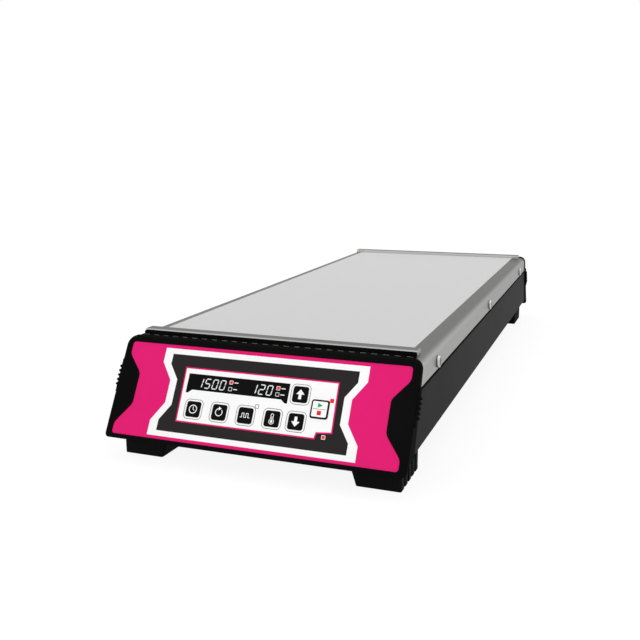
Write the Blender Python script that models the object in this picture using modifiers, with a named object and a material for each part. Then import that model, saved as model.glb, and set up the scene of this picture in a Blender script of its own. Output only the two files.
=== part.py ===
"""Heated magnetic stirrer with ten positions, in metres, +Z up, front towards -Y.

The origin is at the middle of the instrument, on the bench that its feet stand on.
"""
import math

import bmesh
import bpy
from mathutils import Matrix, Vector

# Fits and mesh limits
CLEARANCE = 0.0003
OVERRUN = 0.002
WELD = 0.00001
FLAT_ANGLE = math.radians(1)
SMOOTH_ANGLE = math.radians(35)
ROUND_STEPS = 20
CORNER_STEPS = 4

# Ten stirring positions
POSITION_ROWS = 5
POSITION_COLUMNS = 2
POSITION_PITCH = 0.100

# Work surface: a coated plate that lies in a sunk frame of the top cover
WORK_END_MARGIN = 0.003
WORK_THICKNESS = 0.003
WORK_PROUD = 0.0003
LEDGE_WIDTH = 0.005

# Body and top cover
SHOULDER_WIDTH = 0.0132
COVER_SHEET = 0.0012
COVER_BEND = 0.006
COVER_FALL = 0.0010
FLANGE_DEPTH = 0.0184
BEAD_DEPTH = 0.0090
BEAD_HEIGHT = 0.0035
BEAD_ROUND = 0.0014
BEAD_ROOT_SHARE = 0.75
GROOVE_WIDTH = 0.0030
END_FLANGE_DEPTH = 0.0120

# End caps
FACE_LEAN = math.radians(30)
CAP_TOP_DEPTH = 0.0099
CAP_WALL = 0.0025
CAP_CORNER = 0.007
CAP_EDGE = 0.0015
CHIN_HEIGHT = 0.0170
CHIN_THICKNESS = 0.0035
SEAM_SETBACK = 0.0055
SEAM_LEAN = math.radians(20)
UPSTAND_HEIGHT = 0.0024
UPSTAND_DEPTH = 0.0018
LIP_GROOVE_DEPTH = 0.0014
TOP_SLOTS = 26
TOP_SLOT_LENGTH = 0.0045
TOP_SLOT_WIDTH = 0.0018
TOP_SLOT_DEPTH = 0.0010
TOP_SLOT_MARGIN = 0.0010

# Finger ribs on a raised pad on the sides of both caps
RIB_COUNT = 5
RIB_PITCH = 0.0034
RIB_WIDTH = 0.0019
RIB_PROUD = 0.0027
RIB_LENGTH = 0.0062
RIB_SETBACK = 0.0012
RIB_START = 0.0400
RIB_PAD_START = 0.0350
RIB_PAD_LENGTH = 0.0258
RIB_PAD_PROUD = 0.0017
RIB_PAD_MARGIN = 0.0003

# Base tray
TRAY_SHEET = 0.0015
TRAY_HEIGHT = 0.0232
TRAY_BEND = 0.003
TRAY_SEAM = 0.0006
VENT_COUNT = 8
VENT_LENGTH = 0.026
VENT_WIDTH = 0.003
VENT_PITCH = 0.009
VENT_INSET = 0.0212
VENT_PLACE_Y = 0.110

# Cover screws
SCREW_ROWS = 3
SCREW_END_INSET = 0.027
SCREW_HEAD_RADIUS = 0.0045
SCREW_HEAD_HEIGHT = 0.0019
SCREW_SOCKET_RADIUS = 0.0026
SCREW_SOCKET_DEPTH = 0.0012
SCREW_SHANK_RADIUS = 0.0019
SCREW_REACH = 0.0075
SCREW_DISH = 0.0005

# Feet
FOOT_WIDTH = 0.039
FOOT_LENGTH = 0.045
FOOT_INSET = 0.0062
FOOT_SETBACK = 0.0165
FOOT_TAPER = 0.0070
FOOT_EDGE = 0.0015
FOOT_GROOVES = 4
FOOT_GROOVE_WIDTH = 0.0030
FOOT_GROOVE_DEPTH = 0.0018
FOOT_GROOVE_PITCH = 0.0090

# Control panel overlay on the leaning front face
PANEL_SIDE_MARGIN = 0.0049
PANEL_WAIST_DEPTH = 0.0116
PANEL_WAIST_LOW = 0.0232
PANEL_WAIST_HIGH = 0.0466
PANEL_FLARE_LOW = 0.0080
PANEL_FLARE_HIGH = 0.0604
PANEL_MARGIN = 0.0040
PANEL_TOP_MARGIN = 0.0042
PANEL_THICKNESS = 0.0008
PANEL_SUNK = 0.0005

# Display window, with a small foot at each lower end
WINDOW_LEFT = -0.0551
WINDOW_RIGHT = 0.0238
WINDOW_TOP = 0.0498
WINDOW_LOW = 0.0386
WINDOW_FOOT_DROP = 0.0024
WINDOW_FOOT_WIDTH = 0.0015
WINDOW_FOOT_SLOPE = 0.0030
WINDOW_REST = 0.0012

# Keys: size and place of each on the panel, from the panel's lower edge
KEY_WIDTH = 0.0114
KEY_HEIGHT = 0.0112
START_KEY_SIZE = 0.0126
KEY_CORNER = 0.0015
KEY_PROUD = 0.0006
KEY_TRAVEL = 0.0004
KEY_FLANGE = 0.0007
KEY_FLANGE_THICKNESS = 0.0005
KEY_ROW = 0.0243
KEY_COLUMN_FIRST = -0.0462
KEY_COLUMN_PITCH = 0.0204
ARROW_KEY_COLUMN = 0.0328
ARROW_KEY_RISE = 0.0190
START_KEY_COLUMN = 0.0485
START_KEY_ROW = 0.0346

# Display board behind the front face
BOARD_SHEET = 0.0016
DISPLAY_BOARD_WIDTH = 0.136
DISPLAY_BOARD_HEIGHT = 0.0400
DISPLAY_BOARD_LOW = 0.0185
DISPLAY_BOARD_DEPTH = 0.0085
KEY_SWITCH_SIZE = 0.006
DISPLAY_BLOCK_INSET = 0.0020
BOSS_RADIUS = 0.003
BOSS_INSET = 0.0050

# Heater under the work surface
HEATER_THICKNESS = 0.0015
INSULATION_THICKNESS = 0.005
SENSOR_WIDTH = 0.012
SENSOR_LENGTH = 0.018
SENSOR_HEIGHT = 0.004

# Drive deck and spindles
DECK_SHEET = 0.002
DECK_BEND = 0.004
DECK_INSET = 0.0040
DECK_MARGIN = 0.030
SPINDLE_RADIUS = 0.003
SPINDLE_COLLAR_RADIUS = 0.005
SPINDLE_COLLAR_HEIGHT = 0.0012

# Rotors, magnets, belt and motor
ROTOR_PULLEY_RADIUS = 0.015
ROTOR_DISC_RADIUS = 0.024
ROTOR_DISC_THICKNESS = 0.0040
ROTOR_HUB_RADIUS = 0.012
ROTOR_HUB_HEIGHT = 0.0040
PULLEY_FLANGE = 0.0022
PULLEY_FLANGE_THICKNESS = 0.0012
BELT_WIDTH = 0.004
BELT_THICKNESS = 0.0012
MAGNET_LENGTH = 0.042
MAGNET_WIDTH = 0.012
MAGNET_HEIGHT = 0.008
MAGNET_GAP = 0.0038
MAGNET_SEAT_DEPTH = 0.0015
MAGNET_EDGE = 0.0012
MOTOR_OFFSET = 0.032
MOTOR_RADIUS = 0.022
MOTOR_HEIGHT = 0.0190
MOTOR_FLOOR_GAP = 0.0020
MOTOR_NOSE_RADIUS = 0.007
MOTOR_PULLEY_RADIUS = 0.018
MOTOR_SHAFT_RADIUS = 0.0025
MOTOR_SHAFT_GRIP = 0.008

# Boards on the tray floor
STANDOFF_RADIUS = 0.003
STANDOFF_HEIGHT = 0.005
STANDOFF_INSET = 0.006
FLOOR_BOARD_WIDTH = 0.150
CONTROL_BOARD_LENGTH = 0.100
CONTROL_BOARD_GAP = 0.040
POWER_BOARD_LENGTH = 0.120
POWER_BOARD_INSET = 0.053
CHIP_SIZE = 0.014
CHIP_HEIGHT = 0.002
CHIP_PITCH = 0.030
CHIP_COUNT = 3
TRANSFORMER_WIDTH = 0.040
TRANSFORMER_LENGTH = 0.034
TRANSFORMER_GAP = 0.0024
TRANSFORMER_PLACE_X = -0.040
CAPACITOR_RADIUS = 0.006
CAPACITOR_DROP = 0.0010
CAPACITOR_PITCH = 0.018
CAPACITOR_COUNT = 3
CAPACITOR_PLACE_X = 0.020

# Wiring: a flat ribbon from the display board and a sheathed lead from the inlet
RIBBON_WIDTH = 0.030
RIBBON_THICKNESS = 0.0010
RIBBON_PLACE_X = 0.045
RIBBON_RISE = 0.0060
RIBBON_LEAD = 0.0060
RIBBON_ARCH = 0.0070
RIBBON_STEP = 0.0120
HARNESS_RADIUS = 0.0025
HARNESS_BEND = 0.0060
HARNESS_LEAD = 0.0100
HARNESS_END = 0.0010
HARNESS_INSET = 0.0080

# Inlet bay of the rear cap, seen from behind
BAY_WIDTH = 0.096
BAY_LOW = 0.0300
BAY_HIGH = 0.0690
BAY_SHELTER = 0.0036

# Mains inlet with its fuse drawer
INLET_PLACE_X = -0.022
INLET_FLANGE_WIDTH = 0.031
INLET_FLANGE_HEIGHT = 0.034
INLET_FLANGE_THICKNESS = 0.0025
INLET_BODY_INSET = 0.0020
INLET_BODY_DEPTH = 0.020
SOCKET_WIDTH = 0.0246
SOCKET_HEIGHT = 0.0168
SOCKET_DEPTH = 0.0150
SOCKET_RISE = 0.0060
SOCKET_CHAMFER = 0.0045
PIN_WIDTH = 0.0020
PIN_HEIGHT = 0.0040
PIN_LENGTH = 0.0090
PIN_SPREAD = 0.0070
PIN_EARTH_RISE = 0.0040
DRAWER_WIDTH = 0.0200
DRAWER_HEIGHT = 0.0070
DRAWER_DEPTH = 0.0150
DRAWER_DROP = 0.0108
DRAWER_LIP = 0.0010
DRAWER_LIP_THICKNESS = 0.0015
DRAWER_NOTCH = 0.0040

# Power switch
SWITCH_PLACE_X = 0.024
SWITCH_FLANGE_WIDTH = 0.017
SWITCH_FLANGE_HEIGHT = 0.027
SWITCH_FLANGE_THICKNESS = 0.0020
SWITCH_BODY_INSET = 0.0016
SWITCH_BODY_DEPTH = 0.0130
ROCKER_RADIUS = 0.0100
ROCKER_WIDTH = 0.0112
ROCKER_TILT = math.radians(10)
ROCKER_DISH = 0.0016
ROCKER_PIVOT_DEPTH = 0.0010

# Widths and lengths that follow from the sizes above
WORK_WIDTH = POSITION_COLUMNS * POSITION_PITCH
WORK_LENGTH = POSITION_ROWS * POSITION_PITCH + 2 * WORK_END_MARGIN
BODY_WIDTH = WORK_WIDTH + 2 * SHOULDER_WIDTH
BEAD_HALF_WIDTH = BODY_WIDTH / 2 - COVER_BEND
TRAY_LIP_OUTSIDE = BODY_WIDTH / 2 - COVER_SHEET - CLEARANCE
VENT_PLACE_X = BODY_WIDTH / 2 - VENT_INSET
PANEL_HALF_WIDTH = BODY_WIDTH / 2 - PANEL_SIDE_MARGIN
PANEL_WAIST_HALF_WIDTH = PANEL_HALF_WIDTH - PANEL_WAIST_DEPTH
SCREW_PITCH = (WORK_LENGTH - 2 * SCREW_END_INSET) / (SCREW_ROWS - 1)
HEATER_WIDTH = WORK_WIDTH - 2 * LEDGE_WIDTH - 4 * CLEARANCE
HEATER_LENGTH = WORK_LENGTH - 2 * LEDGE_WIDTH - 4 * CLEARANCE
COLUMN_X = POSITION_PITCH * (POSITION_COLUMNS - 1) / 2
FIRST_ROW_Y = -POSITION_PITCH * (POSITION_ROWS - 1) / 2
MOTOR_Y = FIRST_ROW_Y - MOTOR_OFFSET
DECK_FRONT = MOTOR_Y - MOTOR_RADIUS - OVERRUN
DECK_REAR = -FIRST_ROW_Y + DECK_MARGIN
CONTROL_BOARD_PLACE_Y = MOTOR_Y + MOTOR_RADIUS + CONTROL_BOARD_GAP + CONTROL_BOARD_LENGTH / 2
POWER_BOARD_PLACE_Y = WORK_LENGTH / 2 - POWER_BOARD_INSET - POWER_BOARD_LENGTH / 2

# Heights, from the tray floor up through the motor, the rotors and the heater to the work surface
TRAY_FLOOR = TRAY_HEIGHT + TRAY_SHEET
BOARD_LEVEL = TRAY_FLOOR + STANDOFF_HEIGHT + CLEARANCE
DECK_HEIGHT = TRAY_FLOOR + MOTOR_FLOOR_GAP + MOTOR_HEIGHT + CLEARANCE + DECK_SHEET
TRANSFORMER_HEIGHT = DECK_HEIGHT - DECK_SHEET - TRANSFORMER_GAP - BOARD_LEVEL - BOARD_SHEET
CAPACITOR_HEIGHT = TRANSFORMER_HEIGHT - CAPACITOR_DROP
PULLEY_BOTTOM = DECK_HEIGHT + SPINDLE_COLLAR_HEIGHT + CLEARANCE
BELT_BOTTOM = PULLEY_BOTTOM + PULLEY_FLANGE_THICKNESS + CLEARANCE
BELT_TOP = BELT_BOTTOM + BELT_WIDTH
PULLEY_TOP = BELT_TOP + CLEARANCE + PULLEY_FLANGE_THICKNESS
SPINDLE_TOP = PULLEY_TOP - CLEARANCE
DISC_BOTTOM = PULLEY_TOP + ROTOR_HUB_HEIGHT
ROTOR_TOP = DISC_BOTTOM + ROTOR_DISC_THICKNESS
MAGNET_SEAT = ROTOR_TOP - MAGNET_SEAT_DEPTH
MAGNET_TOP = MAGNET_SEAT + CLEARANCE + MAGNET_HEIGHT
INSULATION_TOP = MAGNET_TOP + MAGNET_GAP + INSULATION_THICKNESS
HEATER_TOP = INSULATION_TOP + CLEARANCE + HEATER_THICKNESS
LEDGE_TOP = HEATER_TOP
WORK_HEIGHT = HEATER_TOP + CLEARANCE + WORK_THICKNESS
COVER_TOP = WORK_HEIGHT - WORK_PROUD
FLANGE_BOTTOM = COVER_TOP - FLANGE_DEPTH
BEND_START = COVER_TOP - COVER_FALL - COVER_BEND
TRAY_SIDE_TOP = FLANGE_BOTTOM - TRAY_SEAM
SCREW_LEVEL = (FLANGE_BOTTOM + BEND_START) / 2

# Places of the end caps, which lean from the chin up to the level of the cover
CAP_TOP_HEIGHT = COVER_TOP
FACE_SLOPE = (CAP_TOP_HEIGHT - CHIN_HEIGHT) / math.cos(FACE_LEAN)
PANEL_HEIGHT = FACE_SLOPE - PANEL_MARGIN - PANEL_TOP_MARGIN
RECESS_HALF_LENGTH = WORK_LENGTH / 2 + CLEARANCE
COVER_END = RECESS_HALF_LENGTH + BEAD_DEPTH
CAP_TOP_BACK = COVER_END + GROOVE_WIDTH
CAP_TOP_FRONT = CAP_TOP_BACK + CAP_TOP_DEPTH
UPSTAND_BACK = COVER_END + CLEARANCE
CHIN_REACH = CAP_TOP_FRONT + FACE_SLOPE * math.sin(FACE_LEAN)
BAY_PLATE = CAP_TOP_FRONT + (CAP_TOP_HEIGHT - BAY_HIGH) * math.tan(FACE_LEAN) - BAY_SHELTER
BAY_MIDDLE = (BAY_LOW + BAY_HIGH) / 2

# Turns that lay a flat outline on its side: (Y, Z) outlines run along X, (X, Z) ones along Y
ALONG_X = Matrix(((0, 0, 1, 0), (1, 0, 0, 0), (0, 1, 0, 0), (0, 0, 0, 1)))
ALONG_Y = Matrix.Rotation(math.radians(90), 4, "X")
FACING_X = Matrix.Rotation(math.radians(90), 4, "Y")

for old in list(bpy.data.objects):
    bpy.data.objects.remove(old)

parts = bpy.data.collections.new("heated_magnetic_stirrer")
cutters = bpy.data.collections.new("cutters")
bpy.context.scene.collection.children.link(parts)
bpy.context.scene.collection.children.link(cutters)


def frame(name, location, rotation, parent=None):
    """An empty that carries the pieces of one end or face."""
    empty = bpy.data.objects.new(name, None)
    parts.objects.link(empty)
    empty.location = location
    empty.rotation_euler = rotation
    empty.parent = parent
    return empty


front_end = frame("front_end", (0, 0, 0), (0, 0, 0))
rear_end = frame("rear_end", (0, 0, 0), (0, 0, math.pi))
front_face = frame("front_face", (0, -CHIN_REACH, CHIN_HEIGHT), (math.pi / 2 - FACE_LEAN, 0, 0), front_end)
rear_face = frame("rear_face", (0, -CHIN_REACH, CHIN_HEIGHT), (math.pi / 2 - FACE_LEAN, 0, 0), rear_end)


def finished(obj, colour, roughness, metallic):
    """Gives a piece its own material and soft shading where it is round."""
    material = bpy.data.materials.new(obj.name + "_finish")
    material.use_nodes = True
    shader = material.node_tree.nodes["Principled BSDF"]
    shader.inputs["Base Color"].default_value = (*colour, 1)
    shader.inputs["Roughness"].default_value = roughness
    shader.inputs["Metallic"].default_value = metallic
    obj.data.materials.clear()
    obj.data.materials.append(material)
    if obj.type == "MESH" and obj.data.polygons:
        obj.data.shade_smooth()
        obj.data.set_sharp_from_angle(angle=SMOOTH_ANGLE)
    return obj


def placed(name, mesh, location=(0, 0, 0), parent=None):
    obj = bpy.data.objects.new(name, mesh)
    parts.objects.link(obj)
    obj.location = location
    obj.parent = parent
    return obj


def box(name, low, high, parent=None, origin=(0, 0, 0)):
    """A block between two corners, with its origin where it is asked for."""
    mesh = bpy.data.meshes.new(name)
    solid = bmesh.new()
    size = [top - bottom for bottom, top in zip(low, high)]
    middle = [(top + bottom) / 2 - base for bottom, top, base in zip(low, high, origin)]
    bmesh.ops.create_cube(solid, size=1, matrix=Matrix.Translation(middle) @ Matrix.Diagonal((*size, 1)))
    solid.to_mesh(mesh)
    solid.free()
    return placed(name, mesh, origin, parent)


def cylinder(name, radius, bottom, top, centre=(0, 0), parent=None, steps=ROUND_STEPS):
    """An upright cylinder whose origin is on its axis."""
    mesh = bpy.data.meshes.new(name)
    solid = bmesh.new()
    place = Matrix.Translation((0, 0, (bottom + top) / 2))
    bmesh.ops.create_cone(
        solid, cap_ends=True, segments=steps, radius1=radius, radius2=radius, depth=top - bottom, matrix=place
    )
    solid.to_mesh(mesh)
    solid.free()
    return placed(name, mesh, (*centre, 0), parent)


def slab(name, outlines, thickness, turn=Matrix.Identity(4), location=(0, 0, 0), parent=None):
    """A flat outline, with any holes, given its thickness half to each side."""
    curve = bpy.data.curves.new(name, "CURVE")
    curve.dimensions = "2D"
    curve.fill_mode = "BOTH"
    curve.extrude = thickness / 2
    for outline in outlines:
        spline = curve.splines.new("POLY")
        spline.points.add(len(outline) - 1)
        for point, place in zip(spline.points, outline):
            point.co = (*place, 0, 1)
        spline.use_cyclic_u = True
    rough = bpy.data.objects.new(name + "_outline", curve)
    parts.objects.link(rough)
    evaluated = rough.evaluated_get(bpy.context.evaluated_depsgraph_get())
    mesh = bpy.data.meshes.new_from_object(evaluated)
    bpy.data.objects.remove(rough)
    solid = bmesh.new()
    solid.from_mesh(mesh)
    bmesh.ops.remove_doubles(solid, verts=solid.verts, dist=WELD)
    bmesh.ops.dissolve_limit(solid, angle_limit=FLAT_ANGLE, verts=solid.verts, edges=solid.edges)
    bmesh.ops.recalc_face_normals(solid, faces=solid.faces)
    bmesh.ops.transform(solid, matrix=turn, verts=solid.verts)
    solid.to_mesh(mesh)
    solid.free()
    return placed(name, mesh, location, parent)


def turned(name, profile, location=(0, 0, 0), parent=None, steps=ROUND_STEPS):
    """A turned solid from a closed or axis-to-axis profile of (radius, height) points."""
    mesh = bpy.data.meshes.new(name)
    count = len(profile)
    closed = profile[0][0] > 0
    edges = [(index, (index + 1) % count) for index in range(count if closed else count - 1)]
    mesh.from_pydata([(radius, 0, height) for radius, height in profile], edges, [])
    obj = placed(name, mesh, location, parent)
    screw = obj.modifiers.new("Turn", "SCREW")
    screw.steps = screw.render_steps = steps
    screw.use_merge_vertices = True
    screw.merge_threshold = WELD
    screw.use_smooth_shade = True
    return obj


def set_aside(tool):
    """Moves a cutter out of the parts."""
    tool.hide_render = True
    tool.display_type = "WIRE"
    parts.objects.unlink(tool)
    cutters.objects.link(tool)


def shaped(target, operation, *tools):
    for tool in tools:
        set_aside(tool)
        step = target.modifiers.new(tool.name, "BOOLEAN")
        step.operation = operation
        step.object = tool
    return target


def cut(target, *tools):
    return shaped(target, "DIFFERENCE", *tools)


def join(target, *tools):
    return shaped(target, "UNION", *tools)


def turn_mesh(obj, turn):
    obj.data.transform(turn)
    return obj


def round_edges(obj, width, steps, wanted):
    """Rounds the edges whose two ends pass the test."""
    solid = bmesh.new()
    solid.from_mesh(obj.data)
    edges = [edge for edge in solid.edges if wanted(edge.verts[0].co, edge.verts[1].co)]
    bmesh.ops.bevel(
        solid, geom=edges, offset=width, offset_type="OFFSET", segments=steps, profile=0.5, affect="EDGES"
    )
    solid.to_mesh(obj.data)
    solid.free()
    return obj


def arc(centre, radius, start, end, steps):
    """Points on an arc, both ends included, with its angles in degrees."""
    points = []
    for step in range(steps + 1):
        angle = math.radians(start + (end - start) * step / steps)
        points.append((centre[0] + radius * math.cos(angle), centre[1] + radius * math.sin(angle)))
    return points


def rounded_rectangle(width, height, radius, centre=(0, 0), steps=CORNER_STEPS):
    corners = ((1, 1, 0), (-1, 1, 90), (-1, -1, 180), (1, -1, 270))
    points = []
    for side_x, side_y, start in corners:
        middle = (centre[0] + side_x * (width / 2 - radius), centre[1] + side_y * (height / 2 - radius))
        points += arc(middle, radius, start, start + 90, steps)
    return points


def offset_path(path, distance):
    """The path moved to its left by a distance, with mitred corners."""
    moved = []
    for index, place in enumerate(path):
        here = Vector(place)
        sides = []
        if index > 0:
            sides.append((here - Vector(path[index - 1])).normalized())
        if index < len(path) - 1:
            sides.append((Vector(path[index + 1]) - here).normalized())
        normals = [Vector((-side.y, side.x)) for side in sides]
        mitre = sum(normals, Vector((0, 0))).normalized()
        moved.append(tuple(here + mitre * (distance / mitre.dot(normals[0]))))
    return moved


def grown(outline, distance):
    """A closed anticlockwise outline moved outwards by a distance."""
    looped = [outline[-1], *outline, outline[0]]
    return offset_path(looped, -distance)[1:-1]


def bent_sheet(name, half_path, thickness, front, rear):
    """A folded sheet along Y from half of its outside, which is mirrored and thickened inwards."""
    mirrored = [(-x, z) for x, z in reversed(half_path)]
    path = half_path + mirrored
    outline = path + list(reversed(offset_path(path, thickness)))
    middle = (0, (front + rear) / 2, 0)
    return slab(name, [outline], rear - front, ALONG_Y, middle)


def seam_y(height):
    """How far out the leaning seam between a cap and the body lies at a height."""
    return CAP_TOP_FRONT - SEAM_SETBACK + (CAP_TOP_HEIGHT - height) * math.tan(SEAM_LEAN)


def face_y(height, depth=0):
    """How far out the leaning face lies at a height, or a plane at a depth under it."""
    return CAP_TOP_FRONT + (CAP_TOP_HEIGHT - height) * math.tan(FACE_LEAN) - depth / math.cos(FACE_LEAN)


def seam_cutters(name):
    """Two wedges that trim a body piece along the seams with the front and rear caps."""
    low = TRAY_HEIGHT - OVERRUN
    high = COVER_TOP + BEAD_HEIGHT + OVERRUN
    far = CHIN_REACH + OVERRUN
    outline = [(-seam_y(low), low), (-seam_y(high), high), (-far, high), (-far, low)]
    width = BODY_WIDTH + 2 * OVERRUN
    return [
        slab(name + "_front_trim", [outline], width, ALONG_X, parent=front_end),
        slab(name + "_rear_trim", [outline], width, ALONG_X, parent=rear_end),
    ]


def make_top_cover():
    half_path = [(BODY_WIDTH / 2, FLANGE_BOTTOM)]
    half_path += arc((BODY_WIDTH / 2 - COVER_BEND, BEND_START), COVER_BEND, 0, 80, CORNER_STEPS + 1)
    half_path.append((WORK_WIDTH / 2, COVER_TOP))
    cover = bent_sheet("top_cover", half_path, COVER_SHEET, -CHIN_REACH, CHIN_REACH)
    recess = (WORK_WIDTH / 2 + CLEARANCE, RECESS_HALF_LENGTH)
    window = (WORK_WIDTH / 2 - LEDGE_WIDTH, WORK_LENGTH / 2 - LEDGE_WIDTH)
    rim = (recess[0] + COVER_SHEET, recess[1] + COVER_SHEET)
    join(cover, box(
        "cover_frame",
        (-rim[0], -rim[1], LEDGE_TOP - COVER_SHEET),
        (rim[0], rim[1], COVER_TOP - COVER_SHEET / 2),
    ))
    for side, parent in (("front", front_end), ("rear", rear_end)):
        bead = box(
            "cover_bead_" + side,
            (-BEAD_HALF_WIDTH, -COVER_END, COVER_TOP - COVER_SHEET * BEAD_ROOT_SHARE),
            (BEAD_HALF_WIDTH, -RECESS_HALF_LENGTH, COVER_TOP + BEAD_HEIGHT),
            parent,
        )
        round_edges(bead, BEAD_ROUND, 2, lambda a, b: a.z > COVER_TOP and b.z > COVER_TOP)
        flange = box(
            "cover_end_flange_" + side,
            (-BEAD_HALF_WIDTH + OVERRUN, -COVER_END, COVER_TOP - END_FLANGE_DEPTH),
            (BEAD_HALF_WIDTH - OVERRUN, -COVER_END + COVER_SHEET, COVER_TOP),
            parent,
        )
        join(cover, bead, flange)
    cut(cover, box(
        "cover_recess", (-recess[0], -recess[1], LEDGE_TOP), (recess[0], recess[1], COVER_TOP + OVERRUN)
    ))
    cut(cover, box(
        "cover_window",
        (-window[0], -window[1], LEDGE_TOP - COVER_SHEET - OVERRUN),
        (window[0], window[1], COVER_TOP + OVERRUN),
    ))
    for side, parent in (("front", front_end), ("rear", rear_end)):
        cut(cover, box(
            "cover_groove_" + side,
            (-BEAD_HALF_WIDTH, -CHIN_REACH - OVERRUN, BEND_START),
            (BEAD_HALF_WIDTH, -COVER_END, COVER_TOP + OVERRUN),
            parent,
        ))
    cut(cover, *seam_cutters("cover"))
    drill_screw_holes(cover, "cover_hole", SCREW_SHANK_RADIUS + CLEARANCE)
    finished(cover, (0.42, 0.42, 0.40), 0.38, 1.0)


def drill_screw_holes(target, name, radius):
    """Drills the row of screw holes through both sides."""
    reach = BODY_WIDTH / 2 + OVERRUN
    for row in range(SCREW_ROWS):
        drill = cylinder(f"{name}_{row + 1}", radius, -reach, reach, steps=12)
        turn_mesh(drill, FACING_X)
        drill.location = (0, screw_y(row), SCREW_LEVEL)
        cut(target, drill)


def screw_y(row):
    return (row - (SCREW_ROWS - 1) / 2) * SCREW_PITCH


def make_work_surface():
    low = (-WORK_WIDTH / 2, -WORK_LENGTH / 2, WORK_HEIGHT - WORK_THICKNESS)
    high = (WORK_WIDTH / 2, WORK_LENGTH / 2, WORK_HEIGHT)
    finished(box("work_surface", low, high), (0.62, 0.62, 0.62), 0.45, 0.0)


def make_heater():
    half = (HEATER_WIDTH / 2, HEATER_LENGTH / 2)
    mat = box(
        "heater_mat",
        (-half[0], -half[1], HEATER_TOP - HEATER_THICKNESS), (half[0], half[1], HEATER_TOP),
    )
    finished(mat, (0.35, 0.06, 0.03), 0.7, 0.0)
    board = box(
        "insulation_board",
        (-half[0], -half[1], INSULATION_TOP - INSULATION_THICKNESS), (half[0], half[1], INSULATION_TOP),
    )
    pocket = (SENSOR_WIDTH / 2 + CLEARANCE, SENSOR_LENGTH / 2 + CLEARANCE)
    cut(board, box(
        "sensor_pocket",
        (-pocket[0], -pocket[1], INSULATION_TOP - SENSOR_HEIGHT - CLEARANCE),
        (pocket[0], pocket[1], INSULATION_TOP + OVERRUN),
    ))
    finished(board, (0.75, 0.70, 0.60), 0.9, 0.0)
    sensor = box(
        "temperature_sensor",
        (-SENSOR_WIDTH / 2, -SENSOR_LENGTH / 2, INSULATION_TOP - SENSOR_HEIGHT),
        (SENSOR_WIDTH / 2, SENSOR_LENGTH / 2, INSULATION_TOP),
    )
    finished(sensor, (0.6, 0.6, 0.62), 0.3, 1.0)


def make_base_tray():
    half_path = [
        (TRAY_LIP_OUTSIDE, BEND_START - CLEARANCE),
        (TRAY_LIP_OUTSIDE, TRAY_SIDE_TOP),
        (BODY_WIDTH / 2, TRAY_SIDE_TOP),
    ]
    half_path += arc((BODY_WIDTH / 2 - TRAY_BEND, TRAY_HEIGHT + TRAY_BEND), TRAY_BEND, 0, -90, CORNER_STEPS)
    half_path.reverse()
    mirrored = [(-x, z) for x, z in reversed(half_path)]
    path = mirrored + half_path
    outline = path + list(reversed(offset_path(path, TRAY_SHEET)))
    tray = slab("base_tray", [outline], 2 * CHIN_REACH, ALONG_Y)
    for board, place_y, length in (
        ("control", CONTROL_BOARD_PLACE_Y, CONTROL_BOARD_LENGTH),
        ("power", POWER_BOARD_PLACE_Y, POWER_BOARD_LENGTH),
    ):
        for index, (x, y) in enumerate(board_corners(place_y, length)):
            join(tray, cylinder(
                f"{board}_standoff_{index + 1}", STANDOFF_RADIUS, TRAY_FLOOR - TRAY_SHEET / 2,
                TRAY_FLOOR + STANDOFF_HEIGHT, (x, y), steps=12,
            ))
    for side_x in (-1, 1):
        for side_y in (-1, 1):
            for index in range(VENT_COUNT):
                x = side_x * VENT_PLACE_X
                y = side_y * VENT_PLACE_Y + (index - (VENT_COUNT - 1) / 2) * VENT_PITCH
                cut(tray, box(
                    f"vent_{side_x}_{side_y}_{index + 1}",
                    (x - VENT_LENGTH / 2, y - VENT_WIDTH / 2, TRAY_HEIGHT - OVERRUN),
                    (x + VENT_LENGTH / 2, y + VENT_WIDTH / 2, TRAY_FLOOR + OVERRUN),
                ))
    cut(tray, *seam_cutters("tray"))
    drill_screw_holes(tray, "tray_hole", SCREW_SHANK_RADIUS + CLEARANCE)
    finished(tray, (0.045, 0.045, 0.047), 0.5, 0.3)


def board_corners(place_y, length):
    """Where the four standoffs of a floor board stand."""
    half_x = FLOOR_BOARD_WIDTH / 2 - STANDOFF_INSET
    half_y = length / 2 - STANDOFF_INSET
    return [(side_x * half_x, place_y + side_y * half_y) for side_x in (-1, 1) for side_y in (-1, 1)]


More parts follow.
